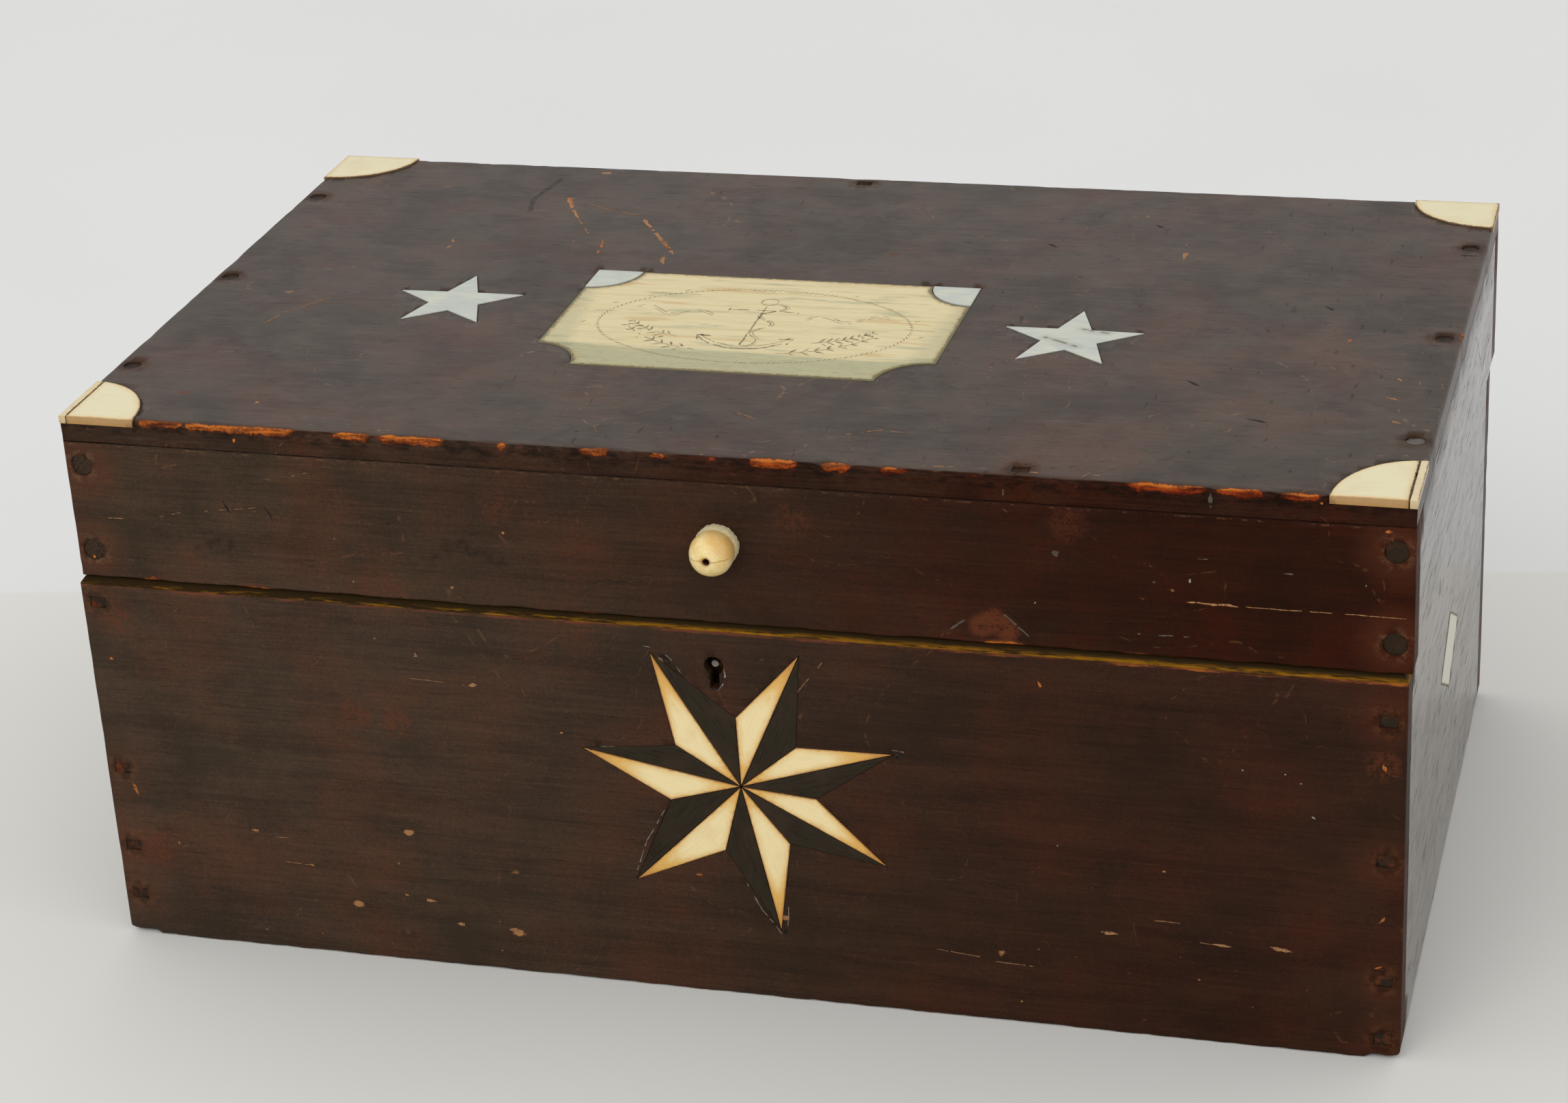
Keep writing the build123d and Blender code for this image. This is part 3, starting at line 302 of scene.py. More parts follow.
class DittyBoxStars(bpy.types.PropertyGroup):
    """Pearl stars in the lid."""
    points: bpy.props.IntProperty(name="Points", description="Points of each star", default=5,
                                  min=3)
    waist: bpy.props.FloatProperty(name="Waist", description="Inner radius over outer radius",
                                   subtype="FACTOR", min=0.0, max=1.0, default=0.4)
    left_turn: angle_property("Left turn", "Turn of the left star", 1.5)
    right_turn: angle_property("Right turn", "Turn of the right star", 0.0)


class DittyBoxStage(bpy.types.PropertyGroup):
    """Camera, floor and lamps."""
    camera: place_property("Camera", "Where the camera stands", (0.27795, -0.96071, 0.56091))
    aim: place_property("Aim", "Point in the middle of the picture", (-0.01125, 0.0, 0.08799))
    roll: angle_property("Roll", "Turn of the camera about its axis", -3.329)
    lens: bpy.props.FloatProperty(name="Lens", description="Focal length on a 36 mm wide sensor",
                                  default=83.478, min=1.0)
    floor: colour_property("Floor", "Table the box stands on", 214, 213, 208)
    wall: colour_property("Wall", "Paler board behind the table", 218, 218, 217)
    room: colour_property("Room", "What gloss shows on the side of the viewer", 104, 98, 88)
    sky: bpy.props.FloatProperty(name="Sky", description="Light from all round", default=0.99,
                                 min=0.0)
    key: bpy.props.FloatProperty(name="Key", description="Power of the main lamp in watts",
                                 default=9.0, min=0.0)


class DittyBoxSettings(bpy.types.PropertyGroup):
    """Everything a user would change on the box."""
    wood: bpy.props.PointerProperty(type=DittyBoxWood)
    inlay: bpy.props.PointerProperty(type=DittyBoxInlay)
    metal: bpy.props.PointerProperty(type=DittyBoxMetal)
    stars: bpy.props.PointerProperty(type=DittyBoxStars)
    stage: bpy.props.PointerProperty(type=DittyBoxStage)


# ---- Wear of the boards -----------------------------------------------------
# Stretches of the lid's front top arris where the varnish is gone: from, to, width of bare wood.
FRONT_CHIPS = ((-165, -152, 1.6), (-150, -119, 2.0), (-106, -96, 2.0), (-92, -74, 2.3),
               (-58, -56, 2.2), (-34, -26, 2.0), (-14, -8, 1.4), (14, 27, 2.5), (34, 41, 2.5),
               (50, 55, 2.0), (117, 136, 2.2), (140, 152, 2.0), (157, 167, 2.0))
ARRIS_STEPS = (0.4, 0.9, 1.5, 2.2, 3.0, 4.0, 5.5)    # cuts along an arris, from its edge
ARRIS_REACH = 14.0            # beyond this an arris has no wear
WAVE = 37.0                   # length of the dents on a broad face
ROW_PITCH = 2.0               # cuts across the longest side of a board
PITCH = 5.0                   # cuts across its other sides
SKIN = 3.2                    # depth to which a board shows its varnish
LID_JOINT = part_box("top_board")[0][2] / MM    # where the top board meets the lid's sides
JOINT_WIDTH = 0.25
SLIVER = 0.025                # how far a chip or an inked line stands off its face
ON_FACE = 0.02                # what lies nearer to a face than this is in it
LEVEL = 0.4                   # in degrees: faces that differ by less are one flat face
SHORT_SIDE = 20.0             # a board is cut into a grid only along its longer sides
MARGIN = 6.0                  # how far from a board's edges that grid starts
SIDES = (("left", "right"), ("front", "back"), ("bottom", "top"))


def ripple(*place, scale):
    """Smooth noise from -1 to 1 at a place in millimetres."""
    return noise.noise(Vector(place) / scale)


def held(value):
    """A value kept between 0 and 1."""
    return min(max(value, 0.0), 1.0)


def chip_width(x):
    """Width of the bare wood along the lid's front top arris, in millimetres."""
    width = 1.3 * ripple(x, 7.0, 1.0, scale=6.0)
    for start, end, wide in FRONT_CHIPS:
        edge = min(x - start, end - x) + 1.6 * ripple(x, 0.0, 5.0, scale=2.5)
        share = held((edge + 1.0) / 2.0)
        width = max(width, wide * share * (0.85 + 0.3 * ripple(x, 3.0, 0.0, scale=3.0)))
    return width


def arris_wear(place, pair, lid):
    """Radius of the worn arris and width of bare wood on it, for the two faces that meet."""
    x, y, z = place
    rough = ripple(x, y, z, scale=9.0)
    fine = ripple(x + 50, y, z, scale=3.2)
    chance = max(0.0, ripple(x, y, z + 40, scale=14.0) - 0.25)
    if lid and pair == ("front", "top"):
        bare = chip_width(x)
        long_chip = max(0.0, ripple(x, 20.0, 2.0, scale=5.0))
        small_chip = max(0.0, ripple(x, 60.0, 2.0, scale=1.8))
        return 1.4 + 0.6 * bare + 0.5 * fine + 1.6 * (long_chip + 0.6 * small_chip), bare
    if lid and "top" in pair:
        return 1.6 + 0.8 * rough + 0.5 * fine, 4.0 * chance - 0.6
    if "top" in pair:
        return 2.4 + 0.4 * rough + 0.3 * fine, -2.0
    if "bottom" in pair:
        corner = 2.5 if not lid and BASE_HIGH[0] - abs(x) < 9 else 0.0
        return 1.2 + 0.7 * rough + 0.5 * fine + corner, 5.0 * chance - 0.8
    return 1.0 + 0.5 * rough + 0.4 * fine, 3.0 * chance - 0.8


def worn_place(place, low, high, lid):
    """Where a point of a board ends up once its arrises are worn, and how bare it is."""
    depth, faces = [], []
    for axis in range(3):
        near_low = place[axis] - low[axis] < high[axis] - place[axis]
        depth.append(place[axis] - low[axis] if near_low else high[axis] - place[axis])
        faces.append(SIDES[axis][0 if near_low else 1])
    bare = 0.0
    for a, b in ((0, 1), (0, 2), (1, 2)):
        if max(depth[a], depth[b]) > ARRIS_REACH:
            continue
        radius, wide = arris_wear(place, (faces[a], faces[b]), lid)
        bare = max(bare, 0.5 + (wide - math.hypot(depth[a], depth[b])) / 2.4)
        radius = max(radius, 0.3)
        off = math.hypot(radius - depth[a], radius - depth[b])
        if depth[a] < radius and depth[b] < radius < off:
            depth[a] = radius - (radius - depth[a]) * radius / off
            depth[b] = radius - (radius - depth[b]) * radius / off
    moved = [low[i] + depth[i] if faces[i] == SIDES[i][0] else high[i] - depth[i]
             for i in range(3)]
    return moved, held(bare)


def merged_copy(node):
    """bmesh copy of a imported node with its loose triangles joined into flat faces."""
    mesh = bmesh.new()
    mesh.from_mesh(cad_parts[node].data)
    bmesh.ops.remove_doubles(mesh, verts=mesh.verts, dist=WELD)
    bmesh.ops.dissolve_limit(mesh, angle_limit=math.radians(LEVEL), verts=mesh.verts,
                             edges=mesh.edges)
    return mesh


def rule_off(mesh, axis, places):
    """Cuts a mesh across an axis at the given places, in millimetres."""
    normal = Vector((axis == 0, axis == 1, axis == 2))
    for place in places:
        parts = mesh.verts[:] + mesh.edges[:] + mesh.faces[:]
        bmesh.ops.bisect_plane(mesh, geom=parts, dist=1e-7, plane_co=normal * place * MM,
                               plane_no=normal)


def steps_between(low, high, pitch):
    """Evenly spaced places inside a span."""
    count = max(int((high - low) / pitch), 1)
    return [low + (high - low) * i / count for i in range(1, count)]


def shown(name, data, body):
    """A new object of a mesh, linked to the scene and riding on a body."""
    made = bpy.data.objects.new(name, data)
    bpy.context.scene.collection.objects.link(made)
    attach(made, body)
    return made


def instead(made, node):
    """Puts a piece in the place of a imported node."""
    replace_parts(made, node)


def piece_from(mesh, name, materials, body, smooth=40.0):
    """Turns a bmesh into a finished object that rides on a body."""
    bmesh.ops.triangulate(mesh, faces=[face for face in mesh.faces if len(face.verts) > 4])
    data = bpy.data.meshes.new(name)
    mesh.to_mesh(data)
    mesh.free()
    for material in materials:
        data.materials.append(material)
    data.shade_smooth()
    data.set_sharp_from_angle(angle=math.radians(smooth))
    return shown(name, data, body)


def dented(place, out, dents):
    """Where a point of a broad face lies once the face has its shallow dents."""
    return place - out * (0.5 + 0.5 * ripple(*place, scale=WAVE)) * dents


def on_top(spot, lift):
    """A drawn spot on the lid's flat inlays."""
    return Vector((spot.x, spot.y, LID_TOP + lift))


def sliver(mesh, stations, seat, material):
    """Thin closed strip through stations of place on the face and half width."""
    rows = []
    for i, (spot, half) in enumerate(stations):
        before, after = stations[max(i - 1, 0)][0], stations[min(i + 1, len(stations) - 1)][0]
        run = (after - before).normalized() if (after - before).length > 0 else Vector((1, 0))
        side = Vector((-run.y, run.x)) * half
        corners = ((1, SLIVER), (-1, SLIVER), (-1, -2 * SLIVER), (1, -2 * SLIVER))
        rows.append([mesh.verts.new(seat(spot + side * way, lift) * MM) for way, lift in corners])
    faces = [mesh.faces.new(rows[0]), mesh.faces.new(rows[-1][::-1])]
    for first, second in zip(rows, rows[1:]):
        for a in range(4):
            b = (a + 1) % 4
            faces.append(mesh.faces.new((first[b], first[a], second[a], second[b])))
    for face in faces:
        face.material_index = material
    bmesh.ops.recalc_face_normals(mesh, faces=faces)
    return [vert for row in rows for vert in row]


def strokes(mesh, points, half, broken, seat, material=0):
    """Slivers along a line through points, tapered at its ends and broken where it is rubbed."""
    points = [Vector(point) for point in points]
    if len(points) == 1:
        points = [points[0] + Vector((half * way, 0)) for way in (-0.8, 0.8)]
    length = sum((b - a).length for a, b in zip(points, points[1:]))
    step = min(max(half * 0.9, 0.35), length / 4)
    run, made, walked = [], [], 0.0
    for a, b in zip(points, points[1:]):
        count = max(int((b - a).length / step), 2)
        for i in range(count + (b is points[-1])):
            spot = a.lerp(b, i / count)
            here = walked + (b - a).length * i / count
            taper = min(here, length - here) / max(min(length * 0.3, half * 5), 0.1)
            rough = 0.75 + 0.6 * ripple(spot.x, spot.y, half, scale=1.1)
            width = half * max(min(taper, 1.0), 0.12) * max(rough, 0.15)
            push = Vector([ripple(spot.x, seed, spot.y, scale=2.3) for seed in (9.0, 40.0)])
            spot = spot + push * min(half, 0.4) * 0.8
            if ripple(spot.x, spot.y, 77.0, scale=2.6) + 0.5 > broken * 1.1:
                run.append((spot, width))
                continue
            if len(run) > 2:
                made += sliver(mesh, run, seat, material)
            run = []
        walked += (b - a).length
    if len(run) > 1:
        made += sliver(mesh, run, seat, material)
    return made


def cut_up(mesh, node, low, high, lid):
    """Cuts a board into a grid that is finest along the arrises it has on the outside."""
    node_low, node_high = node_box(node)
    spans = [high - low for low, high in zip(node_low, node_high)]
    for axis in sorted(range(3), key=lambda axis: -spans[axis]):
        places = []
        if abs(node_low[axis] - low[axis]) < 0.5:
            places += [low[axis] + step for step in ARRIS_STEPS]
        if abs(node_high[axis] - high[axis]) < 0.5:
            places += [high[axis] - step for step in ARRIS_STEPS]
        if spans[axis] > SHORT_SIDE:
            pitch = ROW_PITCH if spans[axis] == max(spans) else PITCH
            places += steps_between(node_low[axis] + MARGIN, node_high[axis] - MARGIN, pitch)
        if axis == 2 and lid:
            places += [LID_JOINT - JOINT_WIDTH, LID_JOINT + JOINT_WIDTH]
        rule_off(mesh, axis, [place for place in places
                              if node_low[axis] < place < node_high[axis]])


def add_chips(mesh, face, chips, level, dents):
    """Lays slivers on a broad face for the chips and scuffs that stand out."""
    strength = mesh.verts.layers.float.new("strength")
    out = Vector((0, -1, 0)) if face == "front" else Vector((0, 0, 1))

    def seat(spot, lift):
        place = (spot.x, level, spot.y) if face == "front" else (spot.x, spot.y, level)
        return dented(Vector(place), out, dents) + out * lift

    for tint, half, strong, broken, lines in chips:
        for points in lines:
            for vert in strokes(mesh, points, half, broken, seat, 2 + TINTS.index(tint)):
                vert[strength] = strong


def worn_board(node, name, materials, wood, face=None, chips=()):
    """Worn copy of a board: rounded arrises, dents, chips, and a mask of bare wood."""
    lid = node in LID_BOARDS
    low, high = (LID_LOW, LID_HIGH) if lid else (BASE_LOW, BASE_HIGH)
    mesh = merged_copy(node)
    cut_up(mesh, node, low, high, lid)
    bare = mesh.verts.layers.float.new("bare")
    for vert in mesh.verts:
        place = [value / MM for value in vert.co]
        moved, vert[bare] = worn_place(place, low, high, lid)
        for axis in range(3):
            if min(place[axis] - low[axis], high[axis] - place[axis]) >= ON_FACE:
                continue
            inward = 1 if place[axis] - low[axis] < high[axis] - place[axis] else -1
            share = 0.5 + 0.5 * ripple(*place, scale=WAVE)
            moved[axis] += inward * share * wood.dents / MM
            if lid and axis < 2 and abs(place[2] - LID_JOINT) < 0.01:
                moved[axis] += inward * (0.22 + 0.3 * ripple(*place, scale=8.0))
        vert.co = Vector(moved) * MM
    for patch in mesh.faces:
        centre = patch.calc_center_median() / MM
        outer = min(min(centre[i] - low[i], high[i] - centre[i]) for i in range(3))
        patch.material_index = 0 if outer < SKIN else 1
    if chips:
        add_chips(mesh, face, chips, low[1] if face == "front" else high[2], wood.dents / MM)
        materials = materials + [chip_finish(f"{node}_{tint}_chip", wood, tint) for tint in TINTS]
    made = piece_from(mesh, name, materials, "lid" if lid else "base")
    instead(made, node)


# ---- Finishes ---------------------------------------------------------------
GRAIN = {"x": (0.03, 1.0, 1.0), "y": (1.0, 0.03, 1.0)}    # noise drawn out along an axis
DRAWN = {"front": (0, 2), "top": (0, 1), "end": (1, 2)}    # the axes a face is drawn along
HEAD_REACH = 7.0              # how far the wear round a nail or peg spreads
NUDGE = 0.0001                # a shift too small to see
COAT_IOR = 1.38               # of thin old varnish
RAW_SHADOW = srgb(112, 56, 26)
BURNT = srgb(158, 114, 46)
# What a board's varnish has, unless the board's own look says otherwise.
PLAIN_LOOK = {
    "stains": (),             # soft marks in the varnish
    "flecks": 0.03,           # share of the small chips that show
    "low": 0.0,               # how many more of them there are near the foot
    "painted_shade": 0.0,              # painted shade towards the right end, in place of the sheen on the left end
    "gloss": 0.6,
    "rough": 0.28,            # roughness of the gloss
    "nicks": 0.0,
    "pores": 0.3,             # open grain
    "scuffed": 0.1,           # hair lines
    "ring": 0.3,              # wear round the heads of nails and pegs
    "streaky": 0.4,           # share of the tone that runs in bands
}


def on_face(face, points):
    """Points drawn on a face, set in space with nothing across the face."""
    axes = DRAWN[face]
    return [tuple(point[axes.index(axis)] if axis in axes else 0.0 for axis in range(3))
            for point in points]


def flattened(made, place, face):
    """A place with nothing across the face."""
    return made.vector("MULTIPLY", place, tuple(float(axis in DRAWN[face]) for axis in range(3)))


class Varnish(Finish):
    """Old brown varnish on close-grained wood, chipped, scuffed and rubbed at its edges."""

    def __init__(self, name, wood, heads, look):
        super().__init__(name)
        self.part, self.wood, self.heads = name.split("_")[0], wood, heads
        self.look = look = SimpleNamespace(**{**PLAIN_LOOK, **look})
        self.along_y = look.face == "end"
        along = self.mapped(self.place, GRAIN["y" if self.along_y else "x"])
        self.fibre = self.noise(along, 1.2, 4.0, warp=0.3)
        stretch = (1.0, 2.2, 1.0) if self.along_y else (2.2, 1.0, 1.0)
        self.band = self.noise(self.mapped(along, stretch), 0.14, 4.0, warp=0.5)
        self.mottle = self.noise(self.place, 0.045, 5.0, 0.62, 0.4)
        self.blotch = self.noise(self.mapped(self.place, move=(31, 7, 19)), 0.03, 4.0)
        self.speck = self.noise(self.place, 1.5)
        self.wobble = self.noise(self.place, 0.35, 4.0)
        self.varnish()
        self.shaky = self.shaken(self.place, 1.6, 1.5)
        self.flecks()
        if heads:
            self.worn_heads()
        self.bare_wood()
        self.stains()
        if look.nicks:
            self.nicks()
        if self.part == "base":
            self.rim()
        else:
            self.joint()
        if look.face == "top":
            self.front_edge()
        gloss = self.math("MAXIMUM", look.gloss * (1.0 - self.dull), 0.0)
        self.done(self.height, Roughness=0.6 + self.between(self.speck, 0.3, 0.8) * 0.12,
                  Specular_IOR_Level=0.06, Coat_Weight=gloss, Coat_Roughness=look.rough,
                  Coat_IOR=COAT_IOR)

    def varnish(self):
        """Brown tones, painted shade towards the right end, open grain and hair lines."""
        wood, look, fibre, speck = self.wood, self.look, self.fibre, self.speck
        tone = self.band * look.streaky + self.mottle * (0.8 - look.streaky) + fibre * 0.2
        self.colour = self.blend(self.between(tone, 0.38, 0.62), wood.dark, wood.light)
        self.paint(self.between(self.blotch + fibre * 0.1, 0.48, 0.75) * 0.3, wood.red)
        self.paint(self.between(speck * 0.8 + fibre * 0.2, 0.5, 0.32) * 0.24, wood.soot)
        self.paint(self.between(speck * 0.75 + fibre * 0.25, 0.5, 0.72) * 0.07, wood.tan)
        self.paint(self.between(self.blotch, 0.46, 0.3) * 0.5, wood.olive)
        # Painted shade: darker towards the right end, in place of the sheen that the left end
        # catches.
        right = self.between(self.x + (self.mottle - 0.5) * 160, -140.0, 150.0) * look.painted_shade
        self.paint(right, wood.painted_shade, "MULTIPLY")
        grain = (1.6, 0.06, 1.7) if self.along_y else (0.16, 1.6, 1.6)
        open_grain = self.noise(self.mapped(self.place, grain), 1.0, rough=0.55)
        open_grain = self.between(open_grain, 0.6, 0.68) * look.pores
        self.paint(open_grain * 0.6, wood.soot)
        hair = self.noise(self.mapped(self.place, move=(5, 50, 90)), 0.016, 2.0, 0.5, 0.6)
        hair = self.near(hair - 0.5, 0.0022, 0.0008) * self.between(self.wobble, 0.5, 0.62)
        self.paint(hair * look.scuffed, wood.tan)
        self.height = fibre * 0.06 + speck * 0.05 + self.wobble * 0.06 - open_grain * 0.1
        self.dull = open_grain * 0.9 + self.between(tone, 0.55, 0.4) * 0.12 + right * 0.4
        if self.along_y:
            rings = self.noise(self.mapped(self.place, (0.3, 0.012, 0.3)), 1.0, warp=0.8)
            self.dull += self.between(rings, 0.5, 0.6) * 0.07

    def flecks(self):
        """Small chips of two sizes, scattered."""
        wood, look = self.wood, self.look
        for long, wide, radius, more in ((5.0, 3.0, 0.11, 1.0), (16.0, 9.0, 0.13, 1.3)):
            size = (wide, long, wide) if self.along_y else (long, wide, wide)
            away, chance, kind, _ = self.cells(self.shaky, size)
            share = look.flecks * more
            if look.low:
                share = self.between(self.z, 58.0, 8.0) * look.low + share
            spot = self.between(away + (self.speck - 0.5) * 0.12, radius, radius * 0.6)
            spot = spot * self.between(chance + share, 1.0, 1.02)
            self.paint(spot * 0.8, self.blend(self.between(kind, 0.3, 0.7), wood.red, wood.tan))
            self.dull += spot * 0.4

    def worn_heads(self):
        """Rubbed and sooty varnish round the heads of nails and pegs."""
        wood, look, speck, wobble = self.wood, self.look, self.speck, self.wobble
        away = self.nearest(flattened(self, self.place, look.face),
                            [on_face(look.face, [head]) for head in self.heads])
        away += (wobble - 0.5) * 4.0
        worn = self.between(away, HEAD_REACH, 3.5)
        worn = worn * self.between(speck * 0.25 + wobble * 0.75, 0.44, 0.64)
        self.paint(self.between(away, 14.0, 4.0) * min(look.ring, 0.3), wood.red)
        other = wood.haze if self.part == "lid" else wood.red
        self.paint(worn * look.ring, self.blend(speck, wood.tan, other))
        self.paint(self.between(away, 4.0, 3.4) * 0.25, wood.soot)
        self.dull += self.between(away, HEAD_REACH, 3.0) * 0.6

    def bare_wood(self):
        """Wood without varnish along the worn arrises."""
        bare, shake = self.attribute("bare"), self.wobble - 0.5
        streak = self.noise(self.mapped(self.place, (0.1, 1.0, 1.0)), 0.8)
        self.paint(self.between(bare + shake * 0.8, 0.12, 0.5) * 0.35, self.wood.red)
        gone = self.between(bare + shake * 1.3 + (streak - 0.5) * 1.1, 0.46, 0.56)
        dark = self.between(streak * 0.7 + self.speck * 0.3 + bare * -0.1, 0.36, 0.52)
        self.paint(gone, self.blend(dark, self.wood.bare, RAW_SHADOW))
        self.height -= gone * 0.22
        self.dull += gone

    def stains(self):
        """Soft marks drawn in the varnish."""
        face = self.look.face
        drawn_on = flattened(self, self.shaky, face)
        grit = self.speck * 0.5 + self.wobble * 0.5
        for tint, half, strength, broken, lines in self.look.stains:
            away = self.nearest(drawn_on, [on_face(face, line) for line in lines])
            drawn = self.between(away, half, half * 0.4) * strength
            drawn = drawn * self.between(grit, 0.5 - 0.2 * (1 - broken), 0.5 + 0.12 * broken)
            self.paint(drawn, getattr(self.wood, tint))
            self.dull += drawn * (1.0 if face == "end" else 0.5)
            # The next marks wait for these, which keeps the shader's working memory small.
            drawn_on = self.vector("ADD", drawn_on,
                                   self.vector("SCALE", (NUDGE,) * 3, scale=drawn))

    def nicks(self):
        """Small cuts and grey rubbed patches."""
        nicks = self.look.nicks
        cuts = self.mapped(self.place, (0.45, 0.12, 1.0), turn=(0, 0, 0.45))
        cuts = self.between(self.noise(cuts, 1.0, 2.0, 0.5), 0.66, 0.72)
        zone = self.between(self.noise(self.place, 0.012, 2.0, 0.5) + self.x * 0.0008, 0.45, 0.6)
        cut = cuts * zone * nicks
        self.paint(cut * 0.3, self.wood.soot)
        rub = self.mapped(self.place, (0.09, 0.2, 1.0), turn=(0, 0, -0.5))
        rub = self.noise(rub, 1.0, 5.0, 0.7, 0.4)
        self.paint(self.between(rub, 0.52, 0.7) * 0.2 * nicks, self.wood.haze)
        self.dull += cut * 0.3 + self.between(rub, 0.5, 0.36) * 0.08 * nicks

    def rim(self):
        """Yellow wood on the chamfer of the base, painted in shade under the lid's edge, with
        painted highlights in streaks on its lower part, and a broken bright line under it.
        """
        x, z, wobble = self.x, self.z, self.wobble
        strip = self.between(z + (wobble - 0.5) * 0.7, RIM - 2.7, RIM - 2.2)
        # Painted highlight: streaks of the rim colour on the lower part of the chamfer; the rest
        # is painted shade under the lid's edge.
        highlight_streaks = self.noise(self.mapped(self.place, (0.09, 0.09, 1.2)), 1.0, 4.0, 0.7)
        rim_highlight = self.between(highlight_streaks + self.between(x, -90.0, 0.0) * 0.12, 0.49, 0.69)
        rim_highlight = rim_highlight * self.between(z, RIM - 0.9, RIM - 2.2) * (0.2 + self.fibre * 0.9)
        self.paint(strip, self.blend(rim_highlight, srgb(42, 29, 8), self.wood.gold))
        line = self.near(z + (wobble - 0.5) * 0.9 - (RIM - 2.8), 0.65, 0.2)
        broken = self.mapped(self.place, (0.07, 0.07, 0.5), (3, 8, 1))
        broken = self.noise(broken, 1.0, 4.0, 0.65)
        line = line * self.between(broken, 0.42, 0.58)
        bright = self.between(broken, 0.5, 0.66) * self.between(x, 20.0, 120.0)
        self.paint(line * 0.55, self.blend(bright, srgb(112, 56, 36), self.wood.bare))
        self.dull += strip

    def joint(self):
        """Dirt in the joint under the top board, and small chips below it."""
        wobble, down = self.wobble, self.z - LID_JOINT
        joint = self.near(down + (wobble - 0.5) * 0.3, 0.3, 0.12)
        self.paint(joint * self.between(wobble, 0.3, 0.6) * 0.75, self.wood.soot)
        under = self.near(down + 0.75, 0.45, 0.1)
        self.paint(under * self.between(wobble, 0.52, 0.64) * 0.12, self.wood.tan)
        self.dull += joint

    def front_edge(self):
        """The top board's front edge: painted shade that darkens it, more towards the right end,
        and a ragged dark lip.
        """
        side = self.between(self.y, FRONT + 1.4, FRONT + 0.7)
        ragged = self.noise(self.mapped(self.place, (0.22, 1.0, 0.5)), 1.0, 4.0, 0.65)
        lip = self.between(self.z + (ragged - 0.5) * 5.0, LID_TOP - 4.6, LID_TOP - 2.4) * side
        self.paint(lip * self.between(ragged, 0.42, 0.6) * 0.6, self.wood.soot)
        # Painted shade on the front edge, stronger towards the right end.
        shade = side * (self.between(self.x, -140.0, 120.0) * 0.6 + 0.3)
        self.paint(shade, self.wood.painted_shade, "MULTIPLY")
        self.dull += side * 0.85


def chip_finish(name, wood, tint):
    """A chip or scuff: its own tint broken up by the varnish round it."""
    made = Finish(name)
    strength = made.attribute("strength") * made.between(made.noise(made.place, 1.3), 0.3, 0.5)
    made.colour = made.blend(0.5, wood.dark, wood.light)
    made.paint(strength, getattr(wood, tint))
    return made.done(Roughness=0.62, Specular_IOR_Level=0.2)


def inside_wood(name, grain, wood):
    """Bare, aged wood of the inside faces."""
    made = Finish(name)
    fibre = made.noise(made.mapped(made.place, GRAIN[grain]), 1.1, 5.0, warp=0.4)
    cloud = made.noise(made.place, 0.02)
    made.colour = made.blend(made.between(fibre, 0.32, 0.68), wood.inside, wood.red)
    made.paint(made.between(cloud, 0.45, 0.8) * 0.5, wood.soot)
    return made.done(fibre * 0.12, Roughness=0.72)


def bone(name, inlay, stain=1.0, body=None, outlined=0.0):
    """Bone with fine streaks, amber towards its edges and tips and brown along them."""
    made = Finish(name)
    lines = made.add("ShaderNodeUVMap", {"uv_map": "grain"})
    streak = made.noise(made.mapped(lines, (0.12, 1.6, 1.0)), 1.0, 4.0, warp=0.3)
    cloud = made.noise(made.place, 0.09, rough=0.55)
    ragged = made.noise(made.place, 0.7)
    drift, jag = cloud - 0.5, ragged - 0.5
    edge, tip = made.attribute("edge"), made.attribute("tip")
    made.colour = made.blend(made.between(streak, 0.5, 0.75) * 0.14, body or inlay.bone,
                             inlay.stain)
    made.paint(made.between(cloud, 0.5, 0.8) * 0.18 * stain, inlay.stain)
    warm = made.between(edge + jag * 1.2 + drift * 3.0, 2.2, 0.2)
    warm = warm * 0.5 + made.between(tip + jag * 0.4 + drift * 0.6, 0.0, 0.7)
    warm = warm + made.between(tip + jag * 0.3, -0.1, -0.8) * 0.7
    made.paint(warm * stain, srgb(212, 166, 84))
    near = made.between(edge + jag * 0.7 + drift * 1.2, 0.7, 0.0)
    made.paint(near * 0.75 * stain, inlay.stain)
    made.paint(made.between(edge + jag * 0.5, 0.3, 0.0) * 0.5 * stain, srgb(104, 66, 30))
    if outlined:
        rim = made.between(edge + jag * 0.7, outlined, outlined * 0.5)
        rim = rim * made.between(made.y, FRONT + 0.8, FRONT + 1.8)
        made.paint(rim * made.between(edge, -0.6, -0.1) * 0.75, srgb(70, 56, 36))
    burnt = made.between(tip + jag * 0.35 + drift * 0.5, 0.45, 1.05)
    made.paint(burnt * 0.95 * stain, inlay.stain)
    made.paint(made.between(edge + jag * 0.9, -0.3, -0.9) * 0.8 * stain, BURNT)
    return made.done(streak * 0.04 + ragged * 0.03, Roughness=0.34 + ragged * 0.12)


